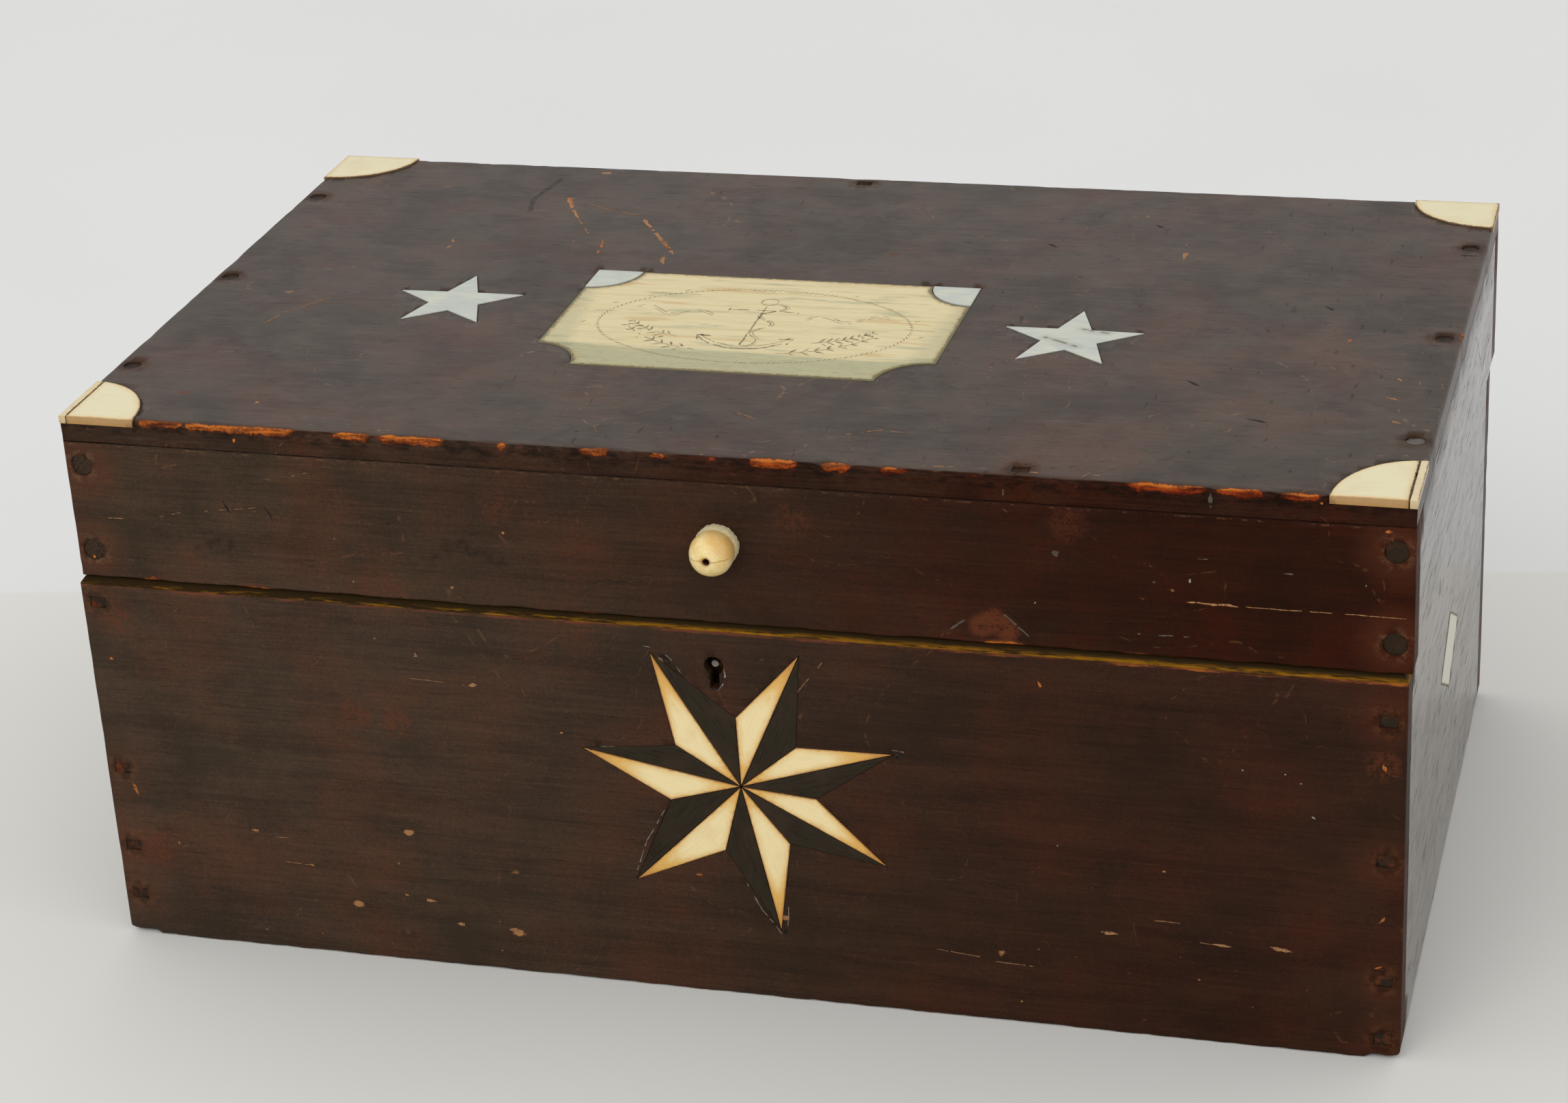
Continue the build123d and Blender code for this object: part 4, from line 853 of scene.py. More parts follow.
def plaque_finish(name, inlay):
    """Cream bone: brown and green streaks, a wash in front, a dirty ragged outline."""
    made = Finish(name)
    streak = made.noise(made.mapped(made.place, (0.03, 0.45, 1.0)), 1.0, 4.0, warp=0.3)
    cloud = made.noise(made.mapped(made.place, (0.03, 0.16, 1.0), (9, 4, 2)), 1.0)
    ragged = made.noise(made.place, 0.8, 4.0, 0.65)
    fine = made.noise(made.mapped(made.place, (0.25, 1.6, 1.0)), 1.0)
    made.colour = made.blend(made.between(streak, 0.4, 0.8), srgb(211, 196, 152),
                             srgb(197, 180, 134))
    made.paint(made.between(cloud, 0.56, 0.66) * 0.55, inlay.sage)
    made.paint(made.between(cloud, 0.42, 0.34) * 0.5, srgb(190, 150, 96))
    wash = made.between(made.y + (streak - 0.5) * 14.0 + (cloud - 0.5) * 8.0, -36.0, -41.0)
    ends = made.math("ABSOLUTE", made.x + 11.0) - made.y * 0.12
    ends = made.between(ends + (ragged - 0.5) * 6.0, 52.0, 58.0)
    made.paint(wash * 0.72 + ends * 0.4, inlay.sage)
    made.paint(made.between(fine, 0.5, 0.72) * (wash * 0.4 + 0.1), srgb(120, 122, 92))
    edge = made.attribute("edge")
    warm = made.between(edge + (ragged - 0.5) * 3.0 + (cloud - 0.5) * 4.0, 3.2, 0.4)
    made.paint(warm * 0.35, srgb(172, 136, 74))
    rim = made.between(edge + (ragged - 0.5) * 2.6 + (streak - 0.5) * 1.5, 1.7, 0.4)
    made.paint(rim * 0.85, srgb(84, 78, 46))
    return made.done(fine * 0.03 + ragged * 0.03, Roughness=0.4 + ragged * 0.12,
                     Specular_IOR_Level=0.35)


def ink(name, colour, thin=srgb(196, 180, 138)):
    """Old ink or dirt, rubbed thin in places."""
    made = Finish(name)
    rubbed = made.between(made.noise(made.place, 0.6, 4.0, 0.65), 0.42, 0.68)
    made.colour = made.blend(rubbed * 0.7, colour, thin)
    return made.done(Roughness=0.55, Specular_IOR_Level=0.25)


def ebony(name, inlay):
    """Dark, open-grained wood of the star's shaded halves."""
    made = Finish(name)
    lines = made.add("ShaderNodeUVMap", {"uv_map": "grain"})
    fibre = made.noise(made.mapped(lines, (0.12, 2.2, 1.0)), 1.0, 4.0, 0.65, 0.3)
    cloud = made.noise(made.place, 0.12, rough=0.55)
    made.colour = made.blend(made.between(fibre, 0.46, 0.7) * 0.75, inlay.ebony,
                             srgb(22, 17, 12))
    made.paint(made.between(cloud, 0.45, 0.75) * 0.5, srgb(60, 44, 34))
    return made.done(fibre * -0.12, Roughness=0.5 + fibre * 0.1, Specular_IOR_Level=0.1)


def pearl(name, inlay, cracked=()):
    """Mother of pearl: pale grey with faint pink and green bands, and painted sheen in silky
    bands.
    """
    made = Finish(name)
    bent = made.mapped(made.place, (0.05, 0.11, 0.1), turn=(0, 0, 0.6))
    band = made.noise(bent, 1.0, rough=0.5, warp=1.2)
    silk_sheen = made.mapped(made.place, (0.1, 0.9, 0.5), turn=(0, 0, 0.5))
    silk_sheen = made.noise(silk_sheen, 1.0, warp=0.6)
    made.colour = made.blend(made.between(band, 0.35, 0.6), inlay.pearl, srgb(176, 180, 172))
    made.paint(made.between(band, 0.58, 0.75) * 0.6, srgb(190, 172, 182))
    # Painted sheen: paler silky bands, and darker ones between them.
    made.paint(made.between(silk_sheen, 0.5, 0.75) * 0.35, srgb(206, 209, 192))
    made.paint(made.between(silk_sheen, 0.45, 0.25) * 0.3, srgb(148, 154, 152))
    made.paint(made.between(made.attribute("edge"), 0.35, 0.0) * 0.4, srgb(110, 100, 96))
    if cracked:
        flat = flattened(made, made.shaken(made.place, 1.5, 1.0), "top")
        away = made.nearest(flat, [on_face("top", line) for line in cracked])
        broken = made.between(made.noise(made.place, 0.5), 0.36, 0.5)
        made.paint(made.between(away, 0.7, 0.15) * broken * 0.85, srgb(70, 66, 44))
        made.paint(made.between(away, 3.0, 0.4) * 0.25, srgb(120, 118, 84))
    return made.done(silk_sheen * 0.03, Roughness=0.34 + silk_sheen * 0.1, Specular_IOR_Level=0.3,
                     Coat_Weight=0.1, Coat_Roughness=0.2)


def metal(name, base, dark, rough, metallic=1.0, pitted=0.1):
    """Tarnished metal with darker patches and small pits."""
    made = Finish(name)
    cloud = made.noise(made.place, 0.35, 4.0)
    grit = made.noise(made.place, 2.2)
    made.colour = made.blend(made.between(cloud, 0.42, 0.68), base, dark)
    shiny = made.math("MAXIMUM", metallic - made.between(cloud, 0.5, 0.75) * 0.35, 0.0)
    return made.done(grit * pitted, Metallic=shiny, Specular_IOR_Level=0.5 * metallic + 0.05,
                     Roughness=rough + made.between(grit, 0.4, 0.8) * 0.25)


def peg_ends(name, metals, wood, rubbed=False):
    """End grain of wooden pegs under old varnish; one of the lid's top pegs has a glossier coat
    and a pale tint painted on as a reflection of the wall.
    """
    made = Finish(name)
    grit = made.noise(made.place, 1.8, 4.0, 0.7)
    cloud = made.noise(made.place, 0.25, 2.0, 0.5)
    made.colour = made.blend(made.between(grit, 0.45, 0.8) * 0.7, metals.peg, wood.soot)
    made.paint(made.between(cloud, 0.5, 0.8) * 0.4, wood.red)
    if not rubbed:
        left = made.between(grit, 0.6, 0.4) * made.between(made.x, 0.0, -100.0)
        made.paint(left * 0.8, srgb(70, 53, 42))
        return made.done(grit * 0.2, Roughness=0.5, Specular_IOR_Level=0.05)
    # Painted reflection: a pale tint on the right front top peg, where the coat is also glossier.
    pale = made.between(made.x, 100.0, 110.0) * made.between(made.y, -30.0, -40.0)
    made.paint(pale * 0.6, srgb(98, 92, 84))
    return made.done(grit * 0.08, Roughness=0.5, Specular_IOR_Level=0.05, Coat_IOR=COAT_IOR,
                     Coat_Weight=pale * 0.5 + 0.12, Coat_Roughness=0.34)


# ---- Inlays -----------------------------------------------------------------
EASE_WIDTH = 0.25             # width of the eased edge of an inlay
EDGE_REACH = 6.0              # beyond this the mask of the edge stays the same
HEART_REACH = 14.0            # how far the warm middle of the front star reaches
PLAQUE_HEART = (-11.3, -17.5)    # middle of the engraved picture
STAR_HEART = Vector((5.6, FRONT, 68.5))    # middle of the front star
CORNER_STEP = 0.06            # corners of an inlay nearer than this are one
SHARP = 50.0                  # in degrees: edges of small pieces that stay sharp


def to_line(place, start, end):
    """Distance from a place to the straight line between two points."""
    run = end - start
    share = held((place - start).dot(run) / max(run.length_squared, 1e-12))
    return (place - start - run * share).length


def inlaid(node, name, material, facing, body, ease, pitch=1.2, heart=None,
           along=(1, 0, 0)):
    """Copy of an inlay with its outer face eased at the edge, and masks of edge and tip."""
    mesh = merged_copy(node)
    bmesh.ops.remove_doubles(mesh, verts=mesh.verts, dist=CORNER_STEP * MM)
    facing, along = Vector(facing), Vector(along).normalized()
    across = facing.cross(along)
    outer = max((face for face in mesh.faces if face.normal.dot(facing) > 0.9),
                key=lambda face: face.calc_area())
    rim = [vert.co / MM for vert in outer.verts]
    lines = list(zip(rim, rim[1:] + rim[:1]))
    level = rim[0].dot(facing)
    bmesh.ops.inset_region(mesh, faces=[outer], thickness=EASE_WIDTH * MM,
                           use_even_offset=True, use_boundary=True)
    for axis in range(3):
        if abs(facing[axis]) < 0.5:
            span = [point[axis] for point in rim]
            rule_off(mesh, axis, steps_between(min(span), max(span), pitch))
    edge = mesh.verts.layers.float.new("edge")
    tip = mesh.verts.layers.float.new("tip")
    grain = mesh.loops.layers.uv.new("grain")
    reach = max((point - heart).length for point in rim) if heart is not None else 1.0
    for vert in mesh.verts:
        place = vert.co / MM
        if place.dot(facing) < level - 0.01:
            vert[edge] = -1.0
            continue
        vert[edge] = min(min(to_line(place, *line) for line in lines), EDGE_REACH)
        if heart is not None:
            away = (place - heart).length
            outside = max(0.0, (away / reach - 0.55) / 0.45)
            vert[tip] = outside - max(0.0, 1.0 - away / HEART_REACH)
        if vert[edge] < 0.01:
            vert.co -= facing * ease
    for face in mesh.faces:
        for loop in face.loops:
            spot = loop.vert.co / MM
            loop[grain].uv = (spot.dot(along), spot.dot(across))
    instead(piece_from(mesh, name, [material], body, SHARP), node)


# ---- Things that repeat -----------------------------------------------------
class Grown(Tree):
    """Geometry nodes with named inputs, run once and turned into a plain mesh."""

    def __init__(self, name, sizes):
        super().__init__(bpy.data.node_groups.new(name, "GeometryNodeTree"))
        self.sizes = sizes
        kinds = {int: "Int", float: "Float", tuple: "Vector"}
        inputs = {label: kinds[type(value)] for label, value in sizes.items()}
        for label, kind in {"Geometry": "Geometry", **inputs}.items():
            self.tree.interface.new_socket(label, in_out="INPUT", socket_type=f"NodeSocket{kind}")
        self.tree.interface.new_socket("Geometry", in_out="OUTPUT",
                                       socket_type="NodeSocketGeometry")
        self.entry = self.tree.nodes.new("NodeGroupInput")

    def given(self, label):
        """One of the named inputs."""
        return Wire(self, self.entry.outputs[label])

    def joined(self, *parts):
        """Several geometries as one."""
        whole = self.add("GeometryNodeJoinGeometry")
        for part in parts:
            self.feed(whole.socket.node.inputs[0], part)
        return whole

    def moved(self, part, move, **changes):
        """A part moved, and turned or scaled if asked."""
        sockets = {"Geometry": part, "Translation": move, **changes}
        return self.add("GeometryNodeTransform", None, sockets)

    def lowered(self, part, share, lift):
        """A part moved down by a share of the length and then up by a lift."""
        down = self.given("Length") * -share + lift
        return self.moved(part, self.add("ShaderNodeCombineXYZ", None, {"Z": down}))

    def planted(self, part):
        """The part set on every point, facing the way the point does, with a random turn."""
        facing = self.add("GeometryNodeInputNamedAttribute", {"data_type": "FLOAT_VECTOR"},
                          {"Name": "facing"})
        upright = self.add("FunctionNodeAlignRotationToVector", {"axis": "Z"}, {"Vector": facing})
        most = self.given("Turn")
        spin = self.add("FunctionNodeRandomValue", {"data_type": "FLOAT"},
                        {2: most * -1.0, 3: most, 8: self.given("Seed")}, 1)
        return self.add("GeometryNodeInstanceOnPoints", None,
                        {"Points": self.given("Geometry"), "Instance": part,
                         "Rotation": self.turned(upright, spin)})

    def turned(self, rotation, angle):
        """A rotation turned about its own upright axis."""
        turn = self.add("FunctionNodeAxisAngleToRotation", None,
                        {"Axis": (0, 0, 1), "Angle": angle})
        return self.add("FunctionNodeRotateRotation", {"rotation_space": "LOCAL"},
                        {0: rotation, 1: turn})

    def roughened(self, part, scale):
        """Points of the part pushed about by noise, for hand-made surfaces."""
        part = self.add("GeometryNodeRealizeInstances", None, {0: part})
        place = self.add("GeometryNodeInputPosition")
        push = self.add("ShaderNodeTexNoise", None, {"Vector": place, "Scale": scale}, "Color")
        push = self.vector("SUBTRACT", push, (0.5, 0.5, 0.5))
        push = self.vector("SCALE", push, scale=self.given("Roughness"))
        return self.add("GeometryNodeSetPosition", None, {"Geometry": part, "Offset": push})

    def grow(self, start, last, material, name, body, slot):
        """Ends the tree, runs it on a start mesh and makes the result a piece of its own."""
        last = self.add("GeometryNodeRealizeInstances", None, {0: last})
        last = self.add("GeometryNodeSetMaterial", None, {"Geometry": last, "Material": material})
        end = self.tree.nodes.new("NodeGroupOutput")
        self.feed(end.inputs[0], last)
        seed = bpy.data.objects.new(f"{name}_start", start)
        bpy.context.scene.collection.objects.link(seed)
        modifier = seed.modifiers.new("grow", "NODES")
        modifier.node_group = self.tree
        for item in self.tree.interface.items_tree:
            if item.in_out == "INPUT" and item.name in self.sizes:
                modifier[item.identifier] = self.sizes[item.name]
        graph = bpy.context.evaluated_depsgraph_get()
        data = bpy.data.meshes.new_from_object(seed.evaluated_get(graph),
                                               preserve_all_data_layers=True, depsgraph=graph)
        if not data.polygons:
            raise RuntimeError(f"{name} came out empty")
        bpy.data.objects.remove(seed)
        data.name = name
        data.set_sharp_from_angle(angle=math.radians(SHARP))
        made = shown(name, data, body)
        return made


def loose_boxes(node):
    """Box of each separate solid of a node, in millimetres."""
    mesh = bmesh.new()
    mesh.from_mesh(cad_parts[node].data)
    bmesh.ops.remove_doubles(mesh, verts=mesh.verts, dist=WELD)
    left, boxes = set(mesh.verts), []
    while left:
        island, border = set(), [left.pop()]
        while border:
            vert = border.pop()
            island.add(vert)
            for link in vert.link_edges:
                other = link.other_vert(vert)
                if other in left:
                    left.discard(other)
                    border.append(other)
        places = [vert.co / MM for vert in island]
        boxes.append([[most(place[axis] for place in places) for axis in range(3)]
                      for most in (min, max)])
    mesh.free()
    return sorted(boxes)


def middle_of(low, high):
    return [(a + b) / 2 for a, b in zip(low, high)]


def heads_of(node, facing):
    """Points at the heads of a node's nails, pegs or screws, each with the way it faces."""
    boxes = loose_boxes(node)
    points, ways = [], []
    for low, high in boxes:
        middle = middle_of(low, high)
        way = facing or (0, math.copysign(1, middle[1]), 0)
        axis = max(range(3), key=lambda axis: abs(way[axis]))
        middle[axis] = high[axis] if way[axis] > 0 else low[axis]
        points.append([value * MM for value in middle])
        ways += way
    data = bpy.data.meshes.new(f"{node}_points")
    data.from_pydata(points, [], [])
    data.attributes.new("facing", "FLOAT_VECTOR", "POINT").data.foreach_set("vector", ways)
    return data, sorted(b - a for a, b in zip(*boxes[0]))


def nails(node, material, facing, body, seed):
    """Hand-cut nails: rough rectangular heads on tapering shanks."""
    start, (thin, wide, long) = heads_of(node, facing)
    tree = Grown(node, {"Head": (wide * MM, thin * MM, 1.2 * MM), "Length": long * MM,
                        "Roughness": 0.9 * MM, "Turn": 0.12, "Seed": seed})
    head = tree.add("GeometryNodeMeshCube", None,
                    {"Size": tree.given("Head"), "Vertices X": 6, "Vertices Y": 5,
                     "Vertices Z": 3})
    head = tree.moved(head, (0, 0, -0.8 * MM))
    shank = tree.add("GeometryNodeMeshCone", None,
                     {"Vertices": 4, "Radius Top": 1.5 * MM, "Radius Bottom": 0.5 * MM,
                      "Depth": tree.given("Length") - 2.0 * MM})
    shank = tree.lowered(shank, 1.0, 0.6 * MM)
    last = tree.roughened(tree.planted(tree.joined(head, shank)), 620.0)
    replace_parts(tree.grow(start, last, material, f"forged_{node}", body, "nail_iron"), node)


def pegs(node, material, facing, body, seed):
    """Whittled pegs with uneven ends."""
    start, (thin, _, long) = heads_of(node, facing)
    tree = Grown(node, {"Radius": thin / 2 * MM, "Length": long * MM, "Roughness": 0.7 * MM,
                        "Turn": 3.1, "Seed": seed})
    stick = tree.add("GeometryNodeMeshCylinder", {"fill_type": "TRIANGLE_FAN"},
                     {"Vertices": 22, "Fill Segments": 4, "Radius": tree.given("Radius"),
                      "Depth": tree.given("Length") - 0.5 * MM})
    last = tree.roughened(tree.planted(tree.lowered(stick, 0.5, -0.05 * MM)), 420.0)
    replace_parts(tree.grow(start, last, material, f"whittled_{node}", body, "peg_wood"), node)


def screws(node, material, facing, body, seed):
    """Small screws with a slot across the head."""
    start, (thin, _, long) = heads_of(node, facing)
    tree = Grown(node, {"Radius": thin / 2 * MM, "Length": long * MM, "Slot": 0.5 * MM,
                        "Turn": 3.1, "Seed": seed})
    radius, slit = tree.given("Radius"), tree.given("Slot")
    head = tree.add("GeometryNodeMeshCone", None,
                    {"Vertices": 24, "Radius Top": radius, "Radius Bottom": radius * 0.5,
                     "Depth": 1.0 * MM})
    head = tree.moved(head, (0, 0, -1.05 * MM))
    size = tree.add("ShaderNodeCombineXYZ", None, {"X": radius * 3.0, "Y": slit, "Z": slit * 2.0})
    cutter = tree.add("GeometryNodeMeshCube", None, {"Size": size})
    head = tree.add("GeometryNodeMeshBoolean", {"operation": "DIFFERENCE"}, {0: head, 1: cutter})
    shank = tree.add("GeometryNodeMeshCone", None,
                     {"Vertices": 16, "Radius Top": radius * 0.5, "Radius Bottom": radius * 0.12,
                      "Depth": tree.given("Length") - 1.2 * MM})
    last = tree.planted(tree.joined(head, tree.lowered(shank, 1.0, 0.1 * MM)))
    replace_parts(tree.grow(start, last, material, f"turned_{node}", body, "screw_iron"), node)


def rope_border(inlay):
    """Oval of slanting strokes, like a rope, engraved round the middle of the plaque."""
    tree = Grown("rope_border", {"Strands": 150, "Half Length": 47.0 * MM,
                                 "Half Width": 28.0 * MM, "Slant": 0.6,
                                 "Strand": (1.6 * MM, 0.36 * MM, 0.07 * MM)})
    ring = tree.add("GeometryNodeCurvePrimitiveCircle", None, {"Resolution": 128, "Radius": 1.0})
    size = tree.add("ShaderNodeCombineXYZ", None,
                    {"X": tree.given("Half Length"), "Y": tree.given("Half Width"), "Z": 1.0})
    ring = tree.moved(ring, Vector((*PLAQUE_HEART, LID_TOP)) * MM, Scale=size)
    points = tree.add("GeometryNodeCurveToPoints", {"mode": "COUNT"},
                      {"Curve": ring, "Count": tree.given("Strands")})
    way = tree.also("Tangent")
    strand = tree.add("GeometryNodeMeshCylinder", None,
                      {"Vertices": 8, "Radius": 0.5, "Depth": 1.0})
    strand = tree.moved(strand, (0, 0, 0), Scale=tree.given("Strand"))
    along = tree.add("FunctionNodeAlignRotationToVector", {"axis": "X"}, {"Vector": way})
    last = tree.add("GeometryNodeInstanceOnPoints", None,
                    {"Points": points, "Instance": strand,
                     "Rotation": tree.turned(along, tree.given("Slant"))})
    tree.grow(bpy.data.meshes.new("rope_start"), last, ink("rope_ink", inlay.sepia),
              "rope_border", "lid", "bone")


def pearl_star(node, place, radius, turn, stars, material):
    """A pearl star with eased edges: its shape follows from its points, radius and waist."""
    (_, _, low), (_, _, high) = node_box(node)
    tree = Grown(node, {"Points": stars.points, "Radius": radius * MM, "Waist": stars.waist,
                        "Turn": math.radians(90) + turn, "Depth": (high - low) * MM,
                        "Ease": 0.12 * MM})
    outline = tree.add("GeometryNodeCurveStar", None,
                       {"Points": tree.given("Points"), "Outer Radius": tree.given("Radius"),
                        "Inner Radius": tree.given("Radius") * tree.given("Waist"),
                        "Twist": 0.0})
    turned = tree.add("ShaderNodeCombineXYZ", None, {"Z": tree.given("Turn")})
    flat = tree.add("GeometryNodeFillCurve", {"mode": "NGONS"}, {0: outline})
    flat = tree.moved(flat, Vector((*place, low)) * MM, Rotation=turned)
    rise = {"Offset": (0, 0, 1), "Individual": False}
    sides = tree.add("GeometryNodeExtrudeMesh", None,
                     {"Mesh": flat, "Offset Scale": tree.given("Depth") - tree.given("Ease"),
                      **rise})
    eased = tree.add("GeometryNodeExtrudeMesh", None,
                     {"Mesh": sides, "Selection": tree.also("Top"),
                      "Offset Scale": tree.given("Ease"), **rise})
    top = tree.also("Top")
    eased = tree.add("GeometryNodeScaleElements", None,
                     {"Geometry": eased, "Selection": top, "Scale": 0.985,
                      "Center": Vector((*place, high)) * MM})
    under = tree.add("GeometryNodeFlipFaces", None, {"Mesh": flat})
    last = tree.add("GeometryNodeMergeByDistance", None, {"Geometry": tree.joined(eased, under)})
    last = tree.add("GeometryNodeStoreNamedAttribute", {"data_type": "FLOAT", "domain": "POINT"},
                    {"Geometry": last, "Name": "edge", "Value": top})
    start = bpy.data.meshes.new(f"{node}_start")
    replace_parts(tree.grow(start, last, material, f"{node}_inlay", "lid", "pearl"), node)


# ---- Operators --------------------------------------------------------------
# Marks: tint, half width, strength, how broken, and lines on the face. Stains are soft and lie
# in the varnish, chips are crisp slivers on it.
LID_FRONT_STAINS = (
    ("soot", 3.4, 0.5, 0.8, (((-81.5, 134.4), (-71, 137.3), (-59.3, 134)), ((-150, 130),
      (-142, 133)))),
    ("red", 4.5, 0.75, 0.1, (((76, 124.5), (80, 126.5), (83, 123.5)),)),
    ("red", 7.0, 0.25, 0.5, (((100, 156),), ((-60, 150),), ((25, 152),))),
)
BASE_FRONT_STAINS = (
    ("red", 6.5, 0.5, 0.6, (((-108.2, 81.5),), ((-96, 79),), ((-180, 105),), ((-176, 30),),
      ((184, 92),))),
)
TOP_STAINS = (
    ("soot", 1.2, 0.6, 0.2, (((-109, 98), (-112, 78), (-109.4, 68)),)),
)
END_STAINS = (
    ("soot", 0.5, 0.55, 0.3, (((46, 151), (69, 131), (86, 136)), ((-18, 120), (11, 130)))),
    ("soot", 0.55, 0.9, 0.2, (((-100.2, 146), (-100.2, 120.5)), ((-100.4, 118), (-100.4, 88)))),
    ("red", 4.0, 0.7, 0.5, (((-33, 107),),)),
)
LID_FRONT_CHIPS = (
    ("tan", 0.3, 0.95, 0.0, (((131.4, 136.1), (145.6, 135.8)),)),
    ("tan", 0.13, 0.8, 0.0, (((147, 135.8), (158, 135.7), (170, 135.8)), ((173, 135.8),
      (189, 135.6)), ((-178, 138.3), (-173, 138.4)))),
    ("tan", 0.16, 0.5, 0.5, (((-162, 139.8), (-155, 141.6), (-131.5, 144.7)), ((-120, 155.2),
      (-114.5, 156.7)))),
    ("haze", 0.24, 0.8, 0.4, (((113.8, 125.5), (132.9, 125.8)), ((134.6, 148.8), (137.5, 148.9)),
      ((157, 146.2), (160, 146.3)))),
    ("chalk", 0.5, 0.95, 0.0, (((132.7, 142.8), (132.6, 141.6)),)),
    ("chalk", 0.3, 0.8, 0.0, (((-108.8, 136.7),), ((-104.5, 123.7),), ((178.4, 144.3),),
      ((90.9, 132.6),))),
    ("soot", 0.45, 0.8, 0.2, (((-141.7, 146.4), (-139.6, 142.3)), ((-129.3, 145.7),
      (-126.8, 141.1)))),
    ("red", 0.5, 0.45, 0.5, (((-93.6, 158.6), (-89.8, 151.6), (-88, 140.2), (-88.6, 133.9),
      (-104, 132.2), (-122.4, 126)), ((-64.2, 146.6), (-51.5, 132.5)))),
    ("haze", 0.8, 0.35, 0.6, (((82.8, 159.6), (90.4, 153.2), (96.7, 147.7), (104, 144.7),
      (109.5, 148.1), (114.2, 153.9)),)),
    ("haze", 0.5, 0.5, 0.3, (((83.2, 168.5), (83, 163)), ((138, 168), (138, 163.4)),
      ((123, 141.2),), ((123.3, 148.7),))),
    ("bare", 0.5, 0.85, 0.0, (((-135.8, 164.3), (-135.6, 165.6)), ((-184, 125.7),),
      ((182.9, 160.2), (185, 160.1)), ((166.7, 167),))),
    ("tan", 0.7, 0.85, 0.0, (((-146.6, 132.7),), ((-58.3, 142.3),))),
    ("haze", 0.3, 0.5, 0.3, (((67, 122.6), (72, 126.2)), ((81, 129.6), (86, 125.1),
      (89.7, 121.9)))),
)
BASE_FRONT_CHIPS = (
    ("tan", 0.6, 0.8, 0.2, (((-146, 39.6), (-141.5, 38.7)), ((-101.5, 22.6), (-98, 22)),
      ((-46.3, 80.8),), ((-95.5, 21.4), (-90, 21.1)), ((-88.1, 102.6), (-88, 100)),
      ((125.1, 53.6),), ((-73, 93.6), (-70.5, 94)), ((107, 32.4), (112, 32)), ((154, 32.8),
      (160, 31.7)), ((-101.6, 35.4), (-100.4, 32.6)), ((138, 31.8), (143.5, 31.4)), ((-68, 14),
      (-64, 13.8)), ((-84, 14.2), (-80, 13.9)), ((-128.5, 29.6), (-127, 28.8)))),
    ("tan", 0.16, 0.5, 0.2, (((-91, 94.4), (-74, 93.7)), ((-139, 37.8), (-133, 38.1)),
      ((122, 37.7), (130, 37.6)), ((131.6, 32.1), (138, 31.8)), ((76, 19.5), (88, 19)),
      ((60, 21.6), (75, 20.2)), ((-46.5, 50), (-44, 50.3)), ((-137, 29.8), (-127, 29.3)),
      ((33, 112), (22, 98)))),
    ("haze", 1.2, 0.6, 0.5, (((147.4, 114), (147.4, 111.2)), ((30.7, 101.5), (35.2, 101),
      (39, 100.2)), ((108.1, 114.4), (108, 112)), ((-151, 3.2), (-146, 2.8)))),
    ("bare", 0.5, 0.7, 0.2, (((91, 109), (92.4, 106.4)), ((183.7, 92.2), (184.6, 90)),
      ((185, 45.6), (183.4, 43.4)), ((184.8, 30), (182.6, 29)), ((-182.4, 52), (-181, 48)),
      ((-130.6, 6.4), (-127, 6.2)), ((-184.6, 93.6), (-182.6, 92.8)), ((-7.5, 38.8),
      (-9.5, 38.7)))),
    ("haze", 1.0, 0.45, 0.4, (((91.5, 66.5), (91, 59)), ((50.5, 86.7),), ((-77.8, 23.3),),
      ((69, 60),))),
    ("chalk", 0.3, 0.8, 0.0, (((164.9, 74.6), (166, 73.8)), ((146.4, 87),), ((157.8, 86.8),),
      ((162.1, 84.4),), ((95.5, 58.5),))),
    ("soot", 0.4, 0.8, 0.3, (((90, 41.9), (98, 41.6)),)),
    ("soot", 0.35, 1.0, 0.0, (((-1.6, 104.4), (-1.7, 99.4)), ((2.3, 104.2), (2.1, 101),
      (1.7, 98.8)), ((-1.4, 98.9), (1.6, 98.9)))),
    ("soot", 0.9, 1.0, 0.0, (((-19, 109.8), (-15.6, 108.4), (-12.6, 105.6)), ((-38.4, 76.9),
      (-37.6, 76.8)), ((50.2, 82.3), (52.6, 82.6)), ((16.2, 23.4), (15.8, 21.6)))),
    ("chalk", 0.13, 0.6, 0.42, (((-20.2, 110.6), (-16, 110), (-12.4, 107.2), (-9.6, 102.9)),
      ((-16.6, 60.4), (-21, 52.5), (-23.5, 48.1), (-25.7, 41.9), (-28, 35.8)), ((17.4, 31),
      (16.9, 24)))),
    ("chalk", 0.16, 0.6, 0.36, (((4.2, 40), (6.6, 35), (9.6, 28.8), (12.8, 24.8), (15, 21.4)),
      ((49.6, 84.2), (53.6, 83.8)))),
    ("chalk", 0.25, 0.85, 0.1, (((2.9, 105.4), (3.1, 103.4), (2.3, 100.4), (0.9, 98.4)),)),
    ("moss", 0.25, 0.7, 0.2, (((-36.5, 77.5), (-31.5, 77.6), (-20, 77.4)), ((-30.8, 78.8),
      (-27.5, 81.3)))),
)
